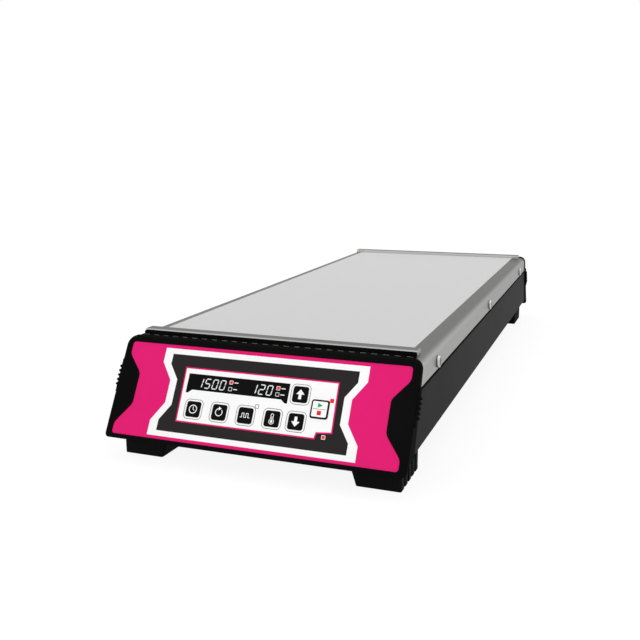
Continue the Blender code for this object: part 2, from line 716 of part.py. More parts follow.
def cap_shell(name, end, face):
    """A hollow leaning end cap, open towards the body, with finger ribs on both sides."""
    back = CLEARANCE / math.cos(SEAM_LEAN)
    outline = [
        (-seam_y(CAP_TOP_HEIGHT) - back, CAP_TOP_HEIGHT),
        (-CAP_TOP_FRONT, CAP_TOP_HEIGHT),
        (-CHIN_REACH, CHIN_HEIGHT),
        (-CHIN_REACH + CHIN_THICKNESS, CHIN_HEIGHT),
        (-face_y(TRAY_HEIGHT, CHIN_THICKNESS), TRAY_HEIGHT),
        (-seam_y(TRAY_HEIGHT) - back, TRAY_HEIGHT),
    ]
    shell = slab(name, [outline], BODY_WIDTH, ALONG_X, parent=end)
    side = BODY_WIDTH / 2 - OVERRUN

    def runs_back(a, b):
        return abs(a.x) > side and abs(b.x) > side and a.x * b.x > 0

    def top_side(a, b):
        return runs_back(a, b) and min(a.z, b.z) > CAP_TOP_HEIGHT - WELD

    def chin_side(a, b):
        return runs_back(a, b) and max(a.z, b.z) < CHIN_HEIGHT + WELD

    def face_edge(a, b):
        on_face = [abs(-point.y - face_y(point.z)) < WELD * 2 for point in (a, b)]
        return all(on_face)

    round_edges(shell, CAP_CORNER, CORNER_STEPS, top_side)
    round_edges(shell, CHIN_THICKNESS, CORNER_STEPS, chin_side)
    round_edges(shell, CAP_EDGE, 2, face_edge)
    hollow = [
        (-face_y(CAP_TOP_HEIGHT - CAP_WALL, CAP_WALL), CAP_TOP_HEIGHT - CAP_WALL),
        (-face_y(TRAY_HEIGHT + CAP_WALL, CAP_WALL), TRAY_HEIGHT + CAP_WALL),
        (-COVER_END, TRAY_HEIGHT + CAP_WALL),
        (-COVER_END, CAP_TOP_HEIGHT - CAP_WALL),
    ]
    cut(shell, slab(name + "_hollow", [hollow], BODY_WIDTH - 2 * CAP_WALL, ALONG_X, parent=end))
    lip = BEAD_HALF_WIDTH - CLEARANCE
    slot_back = -CAP_TOP_BACK - TOP_SLOT_MARGIN
    join(shell, box(
        name + "_lip",
        (-lip, -CAP_TOP_FRONT + CAP_WALL, CAP_TOP_HEIGHT - CAP_WALL),
        (lip, -UPSTAND_BACK, CAP_TOP_HEIGHT),
        end,
    ))
    join(shell, box(
        name + "_upstand",
        (-lip, -UPSTAND_BACK - UPSTAND_DEPTH, CAP_TOP_HEIGHT - CAP_WALL),
        (lip, -UPSTAND_BACK, CAP_TOP_HEIGHT + UPSTAND_HEIGHT),
        end,
    ))
    cut(shell, box(
        name + "_lip_groove",
        (-lip + CAP_WALL, -CAP_TOP_BACK, CAP_TOP_HEIGHT - LIP_GROOVE_DEPTH),
        (lip - CAP_WALL, -UPSTAND_BACK - UPSTAND_DEPTH, CAP_TOP_HEIGHT + OVERRUN),
        end,
    ))
    for index in range(TOP_SLOTS):
        x = (index - (TOP_SLOTS - 1) / 2) * 2 * BEAD_HALF_WIDTH / TOP_SLOTS
        cut(shell, box(
            f"{name}_top_slot_{index + 1}",
            (x - TOP_SLOT_LENGTH / 2, slot_back - TOP_SLOT_WIDTH, CAP_TOP_HEIGHT - TOP_SLOT_DEPTH),
            (x + TOP_SLOT_LENGTH / 2, slot_back, CAP_TOP_HEIGHT + OVERRUN),
            end,
        ))
    for side_x in (-1, 1):
        inner = side_x * (BODY_WIDTH / 2 - CAP_WALL / 2)
        outer = side_x * (BODY_WIDTH / 2 + RIB_PAD_PROUD)
        join(shell, box(
            f"{name}_rib_pad_{side_x}",
            (min(inner, outer), RIB_PAD_START, -RIB_SETBACK - RIB_LENGTH + RIB_PAD_MARGIN),
            (max(inner, outer), RIB_PAD_START + RIB_PAD_LENGTH, -RIB_SETBACK - RIB_PAD_MARGIN),
            face,
        ))
        outer = side_x * (BODY_WIDTH / 2 + RIB_PROUD)
        for index in range(RIB_COUNT):
            low = RIB_START + index * RIB_PITCH
            join(shell, box(
                f"{name}_rib_{side_x}_{index + 1}",
                (min(inner, outer), low, -RIB_SETBACK - RIB_LENGTH),
                (max(inner, outer), low + RIB_WIDTH, -RIB_SETBACK),
                face,
            ))
    return shell


def panel_outline(growth=0):
    half = [
        (PANEL_HALF_WIDTH, 0),
        (PANEL_HALF_WIDTH, PANEL_FLARE_LOW),
        (PANEL_WAIST_HALF_WIDTH, PANEL_WAIST_LOW),
        (PANEL_WAIST_HALF_WIDTH, PANEL_WAIST_HIGH),
        (PANEL_HALF_WIDTH, PANEL_FLARE_HIGH),
        (PANEL_HALF_WIDTH, PANEL_HEIGHT),
    ]
    outline = half + [(-x, y) for x, y in reversed(half)]
    outline = [(x, y + PANEL_MARGIN) for x, y in outline]
    return grown(outline, growth) if growth else outline


def window_outline(growth=0):
    low = WINDOW_LOW - WINDOW_FOOT_DROP
    foot = WINDOW_FOOT_WIDTH
    slope = WINDOW_FOOT_WIDTH + WINDOW_FOOT_SLOPE
    outline = [
        (WINDOW_LEFT, WINDOW_TOP), (WINDOW_LEFT, low), (WINDOW_LEFT + foot, low),
        (WINDOW_LEFT + slope, WINDOW_LOW), (WINDOW_RIGHT - slope, WINDOW_LOW),
        (WINDOW_RIGHT - foot, low), (WINDOW_RIGHT, low), (WINDOW_RIGHT, WINDOW_TOP),
    ]
    outline = [(x, y + PANEL_MARGIN) for x, y in outline]
    return grown(outline, growth) if growth else outline


def key_places():
    """Name, column, row, width and height of each key, on the face."""
    names = ("time_key", "speed_key", "pulse_key", "temperature_key")
    keys = []
    for index, name in enumerate(names):
        column = KEY_COLUMN_FIRST + index * KEY_COLUMN_PITCH
        keys.append((name, column, KEY_ROW + PANEL_MARGIN, KEY_WIDTH, KEY_HEIGHT))
    row = KEY_ROW + PANEL_MARGIN
    keys.append(("down_key", ARROW_KEY_COLUMN, row, KEY_WIDTH, KEY_HEIGHT))
    keys.append(("up_key", ARROW_KEY_COLUMN, row + ARROW_KEY_RISE, KEY_WIDTH, KEY_HEIGHT))
    start = START_KEY_ROW + PANEL_MARGIN
    keys.append(("start_stop_key", START_KEY_COLUMN, start, START_KEY_SIZE, START_KEY_SIZE))
    return keys


def key_hole(key, growth):
    column, row, width, height = key[1:]
    return rounded_rectangle(
        width + 2 * growth, height + 2 * growth, KEY_CORNER + growth, (column, row)
    )


def make_front_cap():
    cap = cap_shell("front_cap", front_end, front_face)
    recess_depth = PANEL_SUNK + PANEL_THICKNESS + CLEARANCE
    deep = CAP_WALL + OVERRUN
    cut(cap, slab(
        "panel_recess", [panel_outline(CLEARANCE)], recess_depth + OVERRUN,
        location=(0, 0, (OVERRUN - recess_depth) / 2), parent=front_face,
    ))
    cut(cap, box(
        "display_opening",
        (WINDOW_LEFT + WINDOW_REST, WINDOW_LOW + PANEL_MARGIN + WINDOW_REST, -2 * deep),
        (WINDOW_RIGHT - WINDOW_REST, WINDOW_TOP + PANEL_MARGIN - WINDOW_REST, OVERRUN),
        front_face,
    ))
    for key in key_places():
        cut(cap, slab(
            key[0] + "_opening", [key_hole(key, CLEARANCE)], 2 * deep,
            location=(0, 0, -deep), parent=front_face,
        ))
    for index, (x, y) in enumerate(display_board_corners()):
        join(cap, cylinder(
            f"board_boss_{index + 1}", BOSS_RADIUS, -DISPLAY_BOARD_DEPTH + CLEARANCE,
            -recess_depth - CLEARANCE, (x, y), front_face, 12,
        ))
    finished(cap, (0.006, 0.006, 0.006), 0.42, 0.0)


def display_board_corners():
    half = DISPLAY_BOARD_WIDTH / 2 - BOSS_INSET
    low = DISPLAY_BOARD_LOW + BOSS_INSET
    high = DISPLAY_BOARD_LOW + DISPLAY_BOARD_HEIGHT - BOSS_INSET
    return [(side * half, y) for side in (-1, 1) for y in (low, high)]


def make_control_panel():
    holes = [window_outline(CLEARANCE)] + [key_hole(key, CLEARANCE) for key in key_places()]
    level = -PANEL_SUNK - PANEL_THICKNESS / 2
    panel = slab(
        "control_panel", [panel_outline(), *holes], PANEL_THICKNESS, location=(0, 0, level), parent=front_face
    )
    finished(panel, (0.74, 0.016, 0.17), 0.4, 0.0)
    window = slab(
        "display_window", [window_outline()], PANEL_THICKNESS, location=(0, 0, level), parent=front_face
    )
    finished(window, (0.008, 0.008, 0.009), 0.15, 0.0)


def make_keys():
    top = KEY_PROUD - PANEL_SUNK
    shoulder = -CAP_WALL - CLEARANCE
    for key in key_places():
        name, column, row, width, height = key
        low = shoulder - KEY_FLANGE_THICKNESS
        cap = slab(
            name, [rounded_rectangle(width, height, KEY_CORNER)], top - low,
            Matrix.Translation((0, 0, (top + low) / 2)), (column, row, 0), front_face,
        )
        grip = box(
            name + "_flange",
            (-width / 2 - KEY_FLANGE, -height / 2 - KEY_FLANGE, low),
            (width / 2 + KEY_FLANGE, height / 2 + KEY_FLANGE, shoulder),
            front_face,
        )
        grip.location = (column, row, 0)
        join(cap, grip)
        white = name == "start_stop_key"
        finished(cap, (0.8, 0.8, 0.8) if white else (0.012, 0.012, 0.012), 0.45, 0.0)


def make_display_board():
    board = box(
        "display_board",
        (-DISPLAY_BOARD_WIDTH / 2, DISPLAY_BOARD_LOW, -DISPLAY_BOARD_DEPTH - BOARD_SHEET),
        (DISPLAY_BOARD_WIDTH / 2, DISPLAY_BOARD_LOW + DISPLAY_BOARD_HEIGHT, -DISPLAY_BOARD_DEPTH),
        front_face,
    )
    root = -DISPLAY_BOARD_DEPTH - BOARD_SHEET / 2
    switch_top = -CAP_WALL - CLEARANCE - KEY_FLANGE_THICKNESS - KEY_TRAVEL - CLEARANCE
    half = KEY_SWITCH_SIZE / 2
    for name, column, row, _, _ in key_places():
        join(board, box(
            name + "_switch",
            (column - half, row - half, root), (column + half, row + half, switch_top),
            front_face,
        ))
    inset = WINDOW_REST + DISPLAY_BLOCK_INSET
    join(board, box(
        "display_block",
        (WINDOW_LEFT + inset, WINDOW_LOW + PANEL_MARGIN + inset, root),
        (WINDOW_RIGHT - inset, WINDOW_TOP + PANEL_MARGIN - inset, -CAP_WALL),
        front_face,
    ))
    finished(board, (0.03, 0.12, 0.05), 0.6, 0.0)


def make_rear_cap():
    cap = cap_shell("rear_cap", rear_end, rear_face)
    low, high = BAY_LOW - CAP_WALL, BAY_HIGH + CAP_WALL
    under = CAP_WALL / 2
    block = [
        (-BAY_PLATE + CAP_WALL, low), (-BAY_PLATE + CAP_WALL, high),
        (-face_y(high, under), high), (-face_y(low, under), low),
    ]
    join(cap, slab("bay_block", [block], BAY_WIDTH + 2 * CAP_WALL, ALONG_X, parent=rear_end))
    cut(cap, box(
        "bay_space",
        (-BAY_WIDTH / 2, -CHIN_REACH - OVERRUN, BAY_LOW), (BAY_WIDTH / 2, -BAY_PLATE, BAY_HIGH), rear_end,
    ))
    inlet = INLET_FLANGE_WIDTH / 2 - INLET_BODY_INSET + CLEARANCE
    inlet_height = INLET_FLANGE_HEIGHT / 2 - INLET_BODY_INSET + CLEARANCE
    cut(cap, box(
        "inlet_hole",
        (INLET_PLACE_X - inlet, -BAY_PLATE - OVERRUN, BAY_MIDDLE - inlet_height),
        (INLET_PLACE_X + inlet, -BAY_PLATE + CAP_WALL + OVERRUN, BAY_MIDDLE + inlet_height),
        rear_end,
    ))
    switch = SWITCH_FLANGE_WIDTH / 2 - SWITCH_BODY_INSET + CLEARANCE
    switch_height = SWITCH_FLANGE_HEIGHT / 2 - SWITCH_BODY_INSET + CLEARANCE
    cut(cap, box(
        "switch_hole",
        (SWITCH_PLACE_X - switch, -BAY_PLATE - OVERRUN, BAY_MIDDLE - switch_height),
        (SWITCH_PLACE_X + switch, -BAY_PLATE + CAP_WALL + OVERRUN, BAY_MIDDLE + switch_height),
        rear_end,
    ))
    finished(cap, (0.006, 0.006, 0.006), 0.42, 0.0)


def make_power_inlet():
    flange_y = -BAY_PLATE - CLEARANCE
    half = (INLET_FLANGE_WIDTH / 2, INLET_FLANGE_HEIGHT / 2)
    inlet = box(
        "power_inlet",
        (INLET_PLACE_X - half[0], flange_y - INLET_FLANGE_THICKNESS, BAY_MIDDLE - half[1]),
        (INLET_PLACE_X + half[0], flange_y, BAY_MIDDLE + half[1]),
        rear_end,
    )
    body = (half[0] - INLET_BODY_INSET, half[1] - INLET_BODY_INSET)
    join(inlet, box(
        "inlet_body",
        (INLET_PLACE_X - body[0], flange_y - INLET_FLANGE_THICKNESS / 2, BAY_MIDDLE - body[1]),
        (INLET_PLACE_X + body[0], flange_y + INLET_BODY_DEPTH, BAY_MIDDLE + body[1]),
        rear_end,
    ))
    mouth = flange_y - INLET_FLANGE_THICKNESS
    middle = (INLET_PLACE_X, BAY_MIDDLE + SOCKET_RISE)
    x, z = SOCKET_WIDTH / 2, SOCKET_HEIGHT / 2
    socket = [
        (-x, -z), (x, -z), (x, z - SOCKET_CHAMFER), (x - SOCKET_CHAMFER, z),
        (-x + SOCKET_CHAMFER, z), (-x, z - SOCKET_CHAMFER),
    ]
    cut(inlet, slab(
        "socket_space", [socket], SOCKET_DEPTH + OVERRUN, ALONG_Y,
        (middle[0], mouth + (SOCKET_DEPTH - OVERRUN) / 2, middle[1]), rear_end,
    ))
    floor = mouth + SOCKET_DEPTH
    for index, (side, rise) in enumerate(((-PIN_SPREAD, 0), (0, PIN_EARTH_RISE), (PIN_SPREAD, 0))):
        x = middle[0] + side
        z = middle[1] + rise - PIN_EARTH_RISE / 2
        join(inlet, box(
            f"inlet_pin_{index + 1}",
            (x - PIN_WIDTH / 2, floor - PIN_LENGTH, z - PIN_HEIGHT / 2),
            (x + PIN_WIDTH / 2, floor + OVERRUN, z + PIN_HEIGHT / 2),
            rear_end,
        ))
    slot = (DRAWER_WIDTH / 2 + CLEARANCE, DRAWER_HEIGHT / 2 + CLEARANCE)
    level = BAY_MIDDLE - DRAWER_DROP
    cut(inlet, box(
        "drawer_slot",
        (INLET_PLACE_X - slot[0], mouth - OVERRUN, level - slot[1]),
        (INLET_PLACE_X + slot[0], mouth + DRAWER_DEPTH + CLEARANCE, level + slot[1]),
        rear_end,
    ))
    finished(inlet, (0.01, 0.01, 0.01), 0.4, 0.0)
    half = (DRAWER_WIDTH / 2, DRAWER_HEIGHT / 2)
    lip_back = mouth - CLEARANCE
    lip_front = lip_back - DRAWER_LIP_THICKNESS
    drawer = box(
        "fuse_drawer",
        (INLET_PLACE_X - half[0], lip_back - DRAWER_LIP_THICKNESS / 2, level - half[1]),
        (INLET_PLACE_X + half[0], mouth + DRAWER_DEPTH, level + half[1]),
        rear_end, (INLET_PLACE_X, mouth, level),
    )
    join(drawer, box(
        "drawer_lip",
        (INLET_PLACE_X - half[0] - DRAWER_LIP, lip_front, level - half[1] - DRAWER_LIP),
        (INLET_PLACE_X + half[0] + DRAWER_LIP, lip_back, level + half[1] + DRAWER_LIP),
        rear_end,
    ))
    cut(drawer, box(
        "drawer_notch",
        (INLET_PLACE_X - DRAWER_NOTCH / 2, lip_front - OVERRUN, level + half[1] - DRAWER_LIP),
        (INLET_PLACE_X + DRAWER_NOTCH / 2, lip_back - DRAWER_LIP_THICKNESS / 2,
         level + half[1] + DRAWER_LIP + OVERRUN),
        rear_end,
    ))
    finished(drawer, (0.02, 0.02, 0.02), 0.45, 0.0)


def make_power_switch():
    flange_y = -BAY_PLATE - CLEARANCE
    mouth = flange_y - SWITCH_FLANGE_THICKNESS
    half = (SWITCH_FLANGE_WIDTH / 2, SWITCH_FLANGE_HEIGHT / 2)
    switch = box(
        "switch_frame",
        (SWITCH_PLACE_X - half[0], mouth, BAY_MIDDLE - half[1]),
        (SWITCH_PLACE_X + half[0], flange_y, BAY_MIDDLE + half[1]),
        rear_end,
    )
    body = (half[0] - SWITCH_BODY_INSET, half[1] - SWITCH_BODY_INSET)
    join(switch, box(
        "switch_body",
        (SWITCH_PLACE_X - body[0], mouth + SWITCH_FLANGE_THICKNESS / 2, BAY_MIDDLE - body[1]),
        (SWITCH_PLACE_X + body[0], mouth + SWITCH_BODY_DEPTH + SWITCH_BODY_INSET, BAY_MIDDLE + body[1]),
        rear_end,
    ))
    space = (ROCKER_WIDTH / 2 + CLEARANCE, ROCKER_RADIUS + CLEARANCE)
    pivot = mouth + ROCKER_PIVOT_DEPTH
    cut(switch, box(
        "switch_space",
        (SWITCH_PLACE_X - space[0], mouth - OVERRUN, BAY_MIDDLE - space[1]),
        (SWITCH_PLACE_X + space[0], pivot + space[1], BAY_MIDDLE + space[1]),
        rear_end,
    ))
    finished(switch, (0.01, 0.01, 0.01), 0.35, 0.0)
    tip = ROCKER_DISH + ROCKER_RADIUS * math.sin(ROCKER_TILT)
    start = math.degrees(math.asin(tip / ROCKER_RADIUS))
    profile = arc((0, 0), ROCKER_RADIUS, 180 - start, 360 + start, 2 * CORNER_STEPS + 2)
    profile.append((0, ROCKER_DISH))
    side_on = Matrix(((0, 0, 1, 0), (0, -1, 0, 0), (1, 0, 0, 0), (0, 0, 0, 1)))
    rocker = slab(
        "switch_rocker", [profile], ROCKER_WIDTH, side_on,
        (SWITCH_PLACE_X, pivot, BAY_MIDDLE), rear_end,
    )
    rocker.rotation_euler = (-ROCKER_TILT, 0, 0)
    finished(rocker, (0.012, 0.012, 0.012), 0.3, 0.0)


def make_cover_screws():
    """Six pan-head screws that hold the cover's flanges to the tray."""
    seat = BODY_WIDTH / 2 + CLEARANCE
    top = seat + SCREW_HEAD_HEIGHT
    profile = [
        (0, top - SCREW_SOCKET_DEPTH),
        (SCREW_SOCKET_RADIUS, top - SCREW_SOCKET_DEPTH),
        (SCREW_SOCKET_RADIUS, top),
        (SCREW_HEAD_RADIUS - SCREW_DISH * 2, top),
        (SCREW_HEAD_RADIUS, top - SCREW_DISH * 2),
        (SCREW_HEAD_RADIUS, seat),
        (SCREW_SHANK_RADIUS, seat),
        (SCREW_SHANK_RADIUS, seat - SCREW_REACH),
        (0, seat - SCREW_REACH),
    ]
    for side, turn in (("right", math.pi / 2), ("left", -math.pi / 2)):
        for row in range(SCREW_ROWS):
            screw = turned(f"cover_screw_{side}_{row + 1}", profile, (0, screw_y(row), SCREW_LEVEL), steps=16)
            screw.rotation_euler = (0, turn, 0)
            finished(screw, (0.55, 0.55, 0.53), 0.3, 1.0)


def make_feet():
    top = TRAY_HEIGHT - CLEARANCE
    outer = BODY_WIDTH / 2 - FOOT_INSET
    outline = [(outer, 0), (outer, top), (outer - FOOT_WIDTH, top), (outer - FOOT_WIDTH + FOOT_TAPER, 0)]
    front = -CHIN_REACH + FOOT_SETBACK
    for end_name, end in (("front", front_end), ("rear", rear_end)):
        for side in (-1, 1):
            world_side = side if end is front_end else -side
            name = f"foot_{end_name}_{'right' if world_side > 0 else 'left'}"
            shape = [(side * x, z) for x, z in outline]
            foot = slab(name, [shape], FOOT_LENGTH, ALONG_Y, (0, front + FOOT_LENGTH / 2, 0), end)
            round_edges(foot, FOOT_EDGE, 2, lambda a, b: min(a.z, b.z) < WELD and max(a.z, b.z) > WELD)
            for index in range(FOOT_GROOVES):
                y = front + FOOT_LENGTH / 2 + (index - (FOOT_GROOVES - 1) / 2) * FOOT_GROOVE_PITCH
                inner, outside = side * (outer - FOOT_GROOVE_DEPTH), side * (outer + OVERRUN)
                cut(foot, box(
                    f"{name}_groove_{index + 1}",
                    (min(inner, outside), y - FOOT_GROOVE_WIDTH / 2, -OVERRUN),
                    (max(inner, outside), y + FOOT_GROOVE_WIDTH / 2, top + OVERRUN),
                    end,
                ))
            finished(foot, (0.008, 0.008, 0.008), 0.6, 0.0)


def make_floor_boards():
    """Control board and power board on the standoffs of the tray."""
    top = BOARD_LEVEL + BOARD_SHEET
    root = BOARD_LEVEL + BOARD_SHEET / 2
    half = FLOOR_BOARD_WIDTH / 2
    control = box(
        "control_board",
        (-half, CONTROL_BOARD_PLACE_Y - CONTROL_BOARD_LENGTH / 2, BOARD_LEVEL),
        (half, CONTROL_BOARD_PLACE_Y + CONTROL_BOARD_LENGTH / 2, top),
    )
    for index in range(CHIP_COUNT):
        x = (index - (CHIP_COUNT - 1) / 2) * CHIP_PITCH
        join(control, box(
            f"chip_{index + 1}",
            (x - CHIP_SIZE / 2, CONTROL_BOARD_PLACE_Y - CHIP_SIZE / 2, root),
            (x + CHIP_SIZE / 2, CONTROL_BOARD_PLACE_Y + CHIP_SIZE / 2, top + CHIP_HEIGHT),
        ))
    finished(control, (0.02, 0.12, 0.05), 0.6, 0.0)
    power = box(
        "power_board",
        (-half, POWER_BOARD_PLACE_Y - POWER_BOARD_LENGTH / 2, BOARD_LEVEL),
        (half, POWER_BOARD_PLACE_Y + POWER_BOARD_LENGTH / 2, top),
    )
    join(power, box(
        "transformer",
        (TRANSFORMER_PLACE_X - TRANSFORMER_WIDTH / 2, POWER_BOARD_PLACE_Y - TRANSFORMER_LENGTH / 2, root),
        (TRANSFORMER_PLACE_X + TRANSFORMER_WIDTH / 2, POWER_BOARD_PLACE_Y + TRANSFORMER_LENGTH / 2,
         top + TRANSFORMER_HEIGHT),
    ))
    for index in range(CAPACITOR_COUNT):
        place = (CAPACITOR_PLACE_X + index * CAPACITOR_PITCH, POWER_BOARD_PLACE_Y)
        join(power, cylinder(
            f"capacitor_{index + 1}", CAPACITOR_RADIUS, root, top + CAPACITOR_HEIGHT, place, steps=16
        ))
    finished(power, (0.02, 0.10, 0.05), 0.6, 0.0)


def make_display_ribbon():
    """Flat cable from the back of the display board to the control board."""
    back = DISPLAY_BOARD_DEPTH + BOARD_SHEET

    def behind_board(depth):
        rise = DISPLAY_BOARD_LOW + RIBBON_RISE
        y = -CHIN_REACH + rise * math.sin(FACE_LEAN) + depth * math.cos(FACE_LEAN)
        return (y, CHIN_HEIGHT + rise * math.cos(FACE_LEAN) - depth * math.sin(FACE_LEAN))

    edge = CONTROL_BOARD_PLACE_Y - CONTROL_BOARD_LENGTH / 2
    top = BOARD_LEVEL + BOARD_SHEET
    path = [
        behind_board(back + CLEARANCE), behind_board(back + RIBBON_LEAD),
        (edge, top + RIBBON_ARCH), (edge + RIBBON_STEP, top + RIBBON_ARCH),
        (edge + RIBBON_STEP, top + CLEARANCE),
    ]
    outline = path + list(reversed(offset_path(path, -RIBBON_THICKNESS)))
    ribbon = slab("display_ribbon", [outline], RIBBON_WIDTH, ALONG_X, (RIBBON_PLACE_X, 0, 0))
    finished(ribbon, (0.35, 0.35, 0.37), 0.6, 0.0)


def make_mains_harness():
    """Sheathed lead from the back of the inlet down under the deck to the power board."""
    start = (-BAY_PLATE + INLET_BODY_DEPTH, BAY_MIDDLE)
    board_edge = -POWER_BOARD_PLACE_Y - POWER_BOARD_LENGTH / 2
    end = (board_edge + HARNESS_INSET, BOARD_LEVEL + BOARD_SHEET + CLEARANCE)
    bend = HARNESS_BEND
    run = end[1] + HARNESS_END + bend
    turn_y = start[0] + HARNESS_LEAD
    route = [start]
    route += arc((turn_y, start[1] - bend), bend, 90, 0, CORNER_STEPS)
    route += arc((turn_y + 2 * bend, run + bend), bend, 180, 270, CORNER_STEPS)
    route += arc((end[0] - bend, run - bend), bend, 90, 0, CORNER_STEPS)
    route.append(end)
    curve = bpy.data.curves.new("mains_harness", "CURVE")
    curve.dimensions = "3D"
    curve.bevel_depth = HARNESS_RADIUS
    curve.bevel_resolution = 2
    curve.use_fill_caps = True
    spline = curve.splines.new("POLY")
    spline.points.add(len(route) - 1)
    for point, (y, z) in zip(spline.points, route):
        point.co = (INLET_PLACE_X, y, z, 1)
    harness = placed("mains_harness", curve, parent=rear_end)
    finished(harness, (0.02, 0.02, 0.02), 0.6, 0.0)


def positions():
    """Centres of the ten stirring positions, row by row from the front left."""
    places = []
    for row in range(POSITION_ROWS):
        for column in range(POSITION_COLUMNS):
            x = -COLUMN_X + column * POSITION_PITCH
            places.append((x, FIRST_ROW_Y + row * POSITION_PITCH))
    return places


def make_drive_deck():
    leg = BODY_WIDTH / 2 - TRAY_SHEET - DECK_INSET
    half_path = [(leg, TRAY_FLOOR + CLEARANCE)]
    half_path += arc((leg - DECK_BEND, DECK_HEIGHT - DECK_BEND), DECK_BEND, 0, 90, CORNER_STEPS)
    deck = bent_sheet("drive_deck", half_path, DECK_SHEET, DECK_FRONT, DECK_REAR)
    root = DECK_HEIGHT - DECK_SHEET / 2
    collar_top = DECK_HEIGHT + SPINDLE_COLLAR_HEIGHT
    for index, place in enumerate(positions()):
        join(
            deck,
            cylinder(f"spindle_collar_{index + 1}", SPINDLE_COLLAR_RADIUS, root, collar_top, place, steps=12),
            cylinder(f"spindle_{index + 1}", SPINDLE_RADIUS, root, SPINDLE_TOP, place, steps=12),
        )
    hole = cylinder(
        "motor_nose_hole", MOTOR_NOSE_RADIUS + CLEARANCE, DECK_HEIGHT - DECK_SHEET - OVERRUN,
        DECK_HEIGHT + OVERRUN, (0, MOTOR_Y),
    )
    cut(deck, hole)
    finished(deck, (0.45, 0.46, 0.47), 0.4, 1.0)


def pulley_profile(radius):
    """Outside of a flanged pulley, from its top to its bottom."""
    flange = radius + PULLEY_FLANGE
    return [
        (flange, PULLEY_TOP), (flange, BELT_TOP + CLEARANCE), (radius, BELT_TOP + CLEARANCE),
        (radius, BELT_BOTTOM - CLEARANCE), (flange, BELT_BOTTOM - CLEARANCE), (flange, PULLEY_BOTTOM),
    ]


def make_rotors():
    """Ten rotors on the spindles, each with its bar magnet."""
    bore = SPINDLE_RADIUS + CLEARANCE
    profile = [
        (0, ROTOR_TOP), (ROTOR_DISC_RADIUS, ROTOR_TOP), (ROTOR_DISC_RADIUS, DISC_BOTTOM),
        (ROTOR_HUB_RADIUS, DISC_BOTTOM), (ROTOR_HUB_RADIUS, PULLEY_TOP), *pulley_profile(ROTOR_PULLEY_RADIUS),
        (bore, PULLEY_BOTTOM), (bore, PULLEY_TOP), (0, PULLEY_TOP),
    ]
    for index, (x, y) in enumerate(positions()):
        rotor = turned(f"rotor_{index + 1}", profile, (x, y, 0))
        cut(rotor, box(
            f"magnet_seat_{index + 1}",
            (x - ROTOR_DISC_RADIUS - OVERRUN, y - MAGNET_WIDTH / 2 - CLEARANCE, MAGNET_SEAT),
            (x + ROTOR_DISC_RADIUS + OVERRUN, y + MAGNET_WIDTH / 2 + CLEARANCE, ROTOR_TOP + OVERRUN),
        ))
        finished(rotor, (0.70, 0.70, 0.68), 0.5, 0.0)
        magnet = box(
            f"magnet_{index + 1}",
            (x - MAGNET_LENGTH / 2, y - MAGNET_WIDTH / 2, MAGNET_SEAT + CLEARANCE),
            (x + MAGNET_LENGTH / 2, y + MAGNET_WIDTH / 2, MAGNET_TOP),
            origin=(x, y, 0),
        )
        round_edges(magnet, MAGNET_EDGE, 1, lambda a, b: a.z > ROTOR_TOP and b.z > ROTOR_TOP)
        finished(magnet, (0.06, 0.06, 0.065), 0.35, 1.0)


def make_motor():
    nose = DECK_HEIGHT - CLEARANCE
    body_top = DECK_HEIGHT - DECK_SHEET - CLEARANCE
    bore = MOTOR_SHAFT_RADIUS + CLEARANCE
    grip = nose - MOTOR_SHAFT_GRIP
    profile = [
        (bore, nose), (MOTOR_NOSE_RADIUS, nose), (MOTOR_NOSE_RADIUS, body_top), (MOTOR_RADIUS, body_top),
        (MOTOR_RADIUS, body_top - MOTOR_HEIGHT), (0, body_top - MOTOR_HEIGHT), (0, grip - CLEARANCE),
        (bore, grip - CLEARANCE),
    ]
    profile = profile[6:] + profile[:6]
    finished(turned("drive_motor", profile, (0, MOTOR_Y, 0)), (0.35, 0.35, 0.36), 0.35, 1.0)
    pulley = [
        (0, PULLEY_TOP), *pulley_profile(MOTOR_PULLEY_RADIUS), (MOTOR_SHAFT_RADIUS, PULLEY_BOTTOM),
        (MOTOR_SHAFT_RADIUS, grip), (0, grip),
    ]
    finished(turned("motor_pulley", pulley, (0, MOTOR_Y, 0)), (0.55, 0.55, 0.56), 0.35, 1.0)


def belt_loop(wheels, offset):
    """Outline of a belt round wheels given anticlockwise as (x, y, radius), at an offset from them."""

    def leaving(first, second):
        run = math.atan2(second[1] - first[1], second[0] - first[0])
        distance = math.dist(first[:2], second[:2])
        return math.degrees(run - math.acos((first[2] - second[2]) / distance))

    outline = []
    for index, wheel in enumerate(wheels):
        start = leaving(wheels[index - 1], wheel)
        end = leaving(wheel, wheels[(index + 1) % len(wheels)])
        while end < start:
            end += 360
        outline += arc(wheel[:2], wheel[2] + offset, start, end, CORNER_STEPS)
    return outline


def make_belt():
    last = -FIRST_ROW_Y
    radius = ROTOR_PULLEY_RADIUS
    wheels = [
        (0, MOTOR_Y, MOTOR_PULLEY_RADIUS), (COLUMN_X, FIRST_ROW_Y, radius), (COLUMN_X, last, radius),
        (-COLUMN_X, last, radius), (-COLUMN_X, FIRST_ROW_Y, radius),
    ]
    inside = belt_loop(wheels, CLEARANCE)
    outside = belt_loop(wheels, CLEARANCE + BELT_THICKNESS)
    belt = slab(
        "drive_belt", [outside, inside], BELT_WIDTH, location=(0, 0, (BELT_BOTTOM + BELT_TOP) / 2)
    )
    finished(belt, (0.01, 0.01, 0.01), 0.7, 0.0)


make_top_cover()
make_work_surface()
make_heater()
make_base_tray()
make_front_cap()
make_rear_cap()
make_control_panel()
make_keys()
make_display_board()
make_power_inlet()
make_power_switch()
make_cover_screws()
make_feet()
make_floor_boards()
make_display_ribbon()
make_mains_harness()
make_drive_deck()
make_rotors()
make_motor()
make_belt()
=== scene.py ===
"""Looks of a heated magnetic stirrer with ten positions, in metres, in the frame of its solids."""
import math

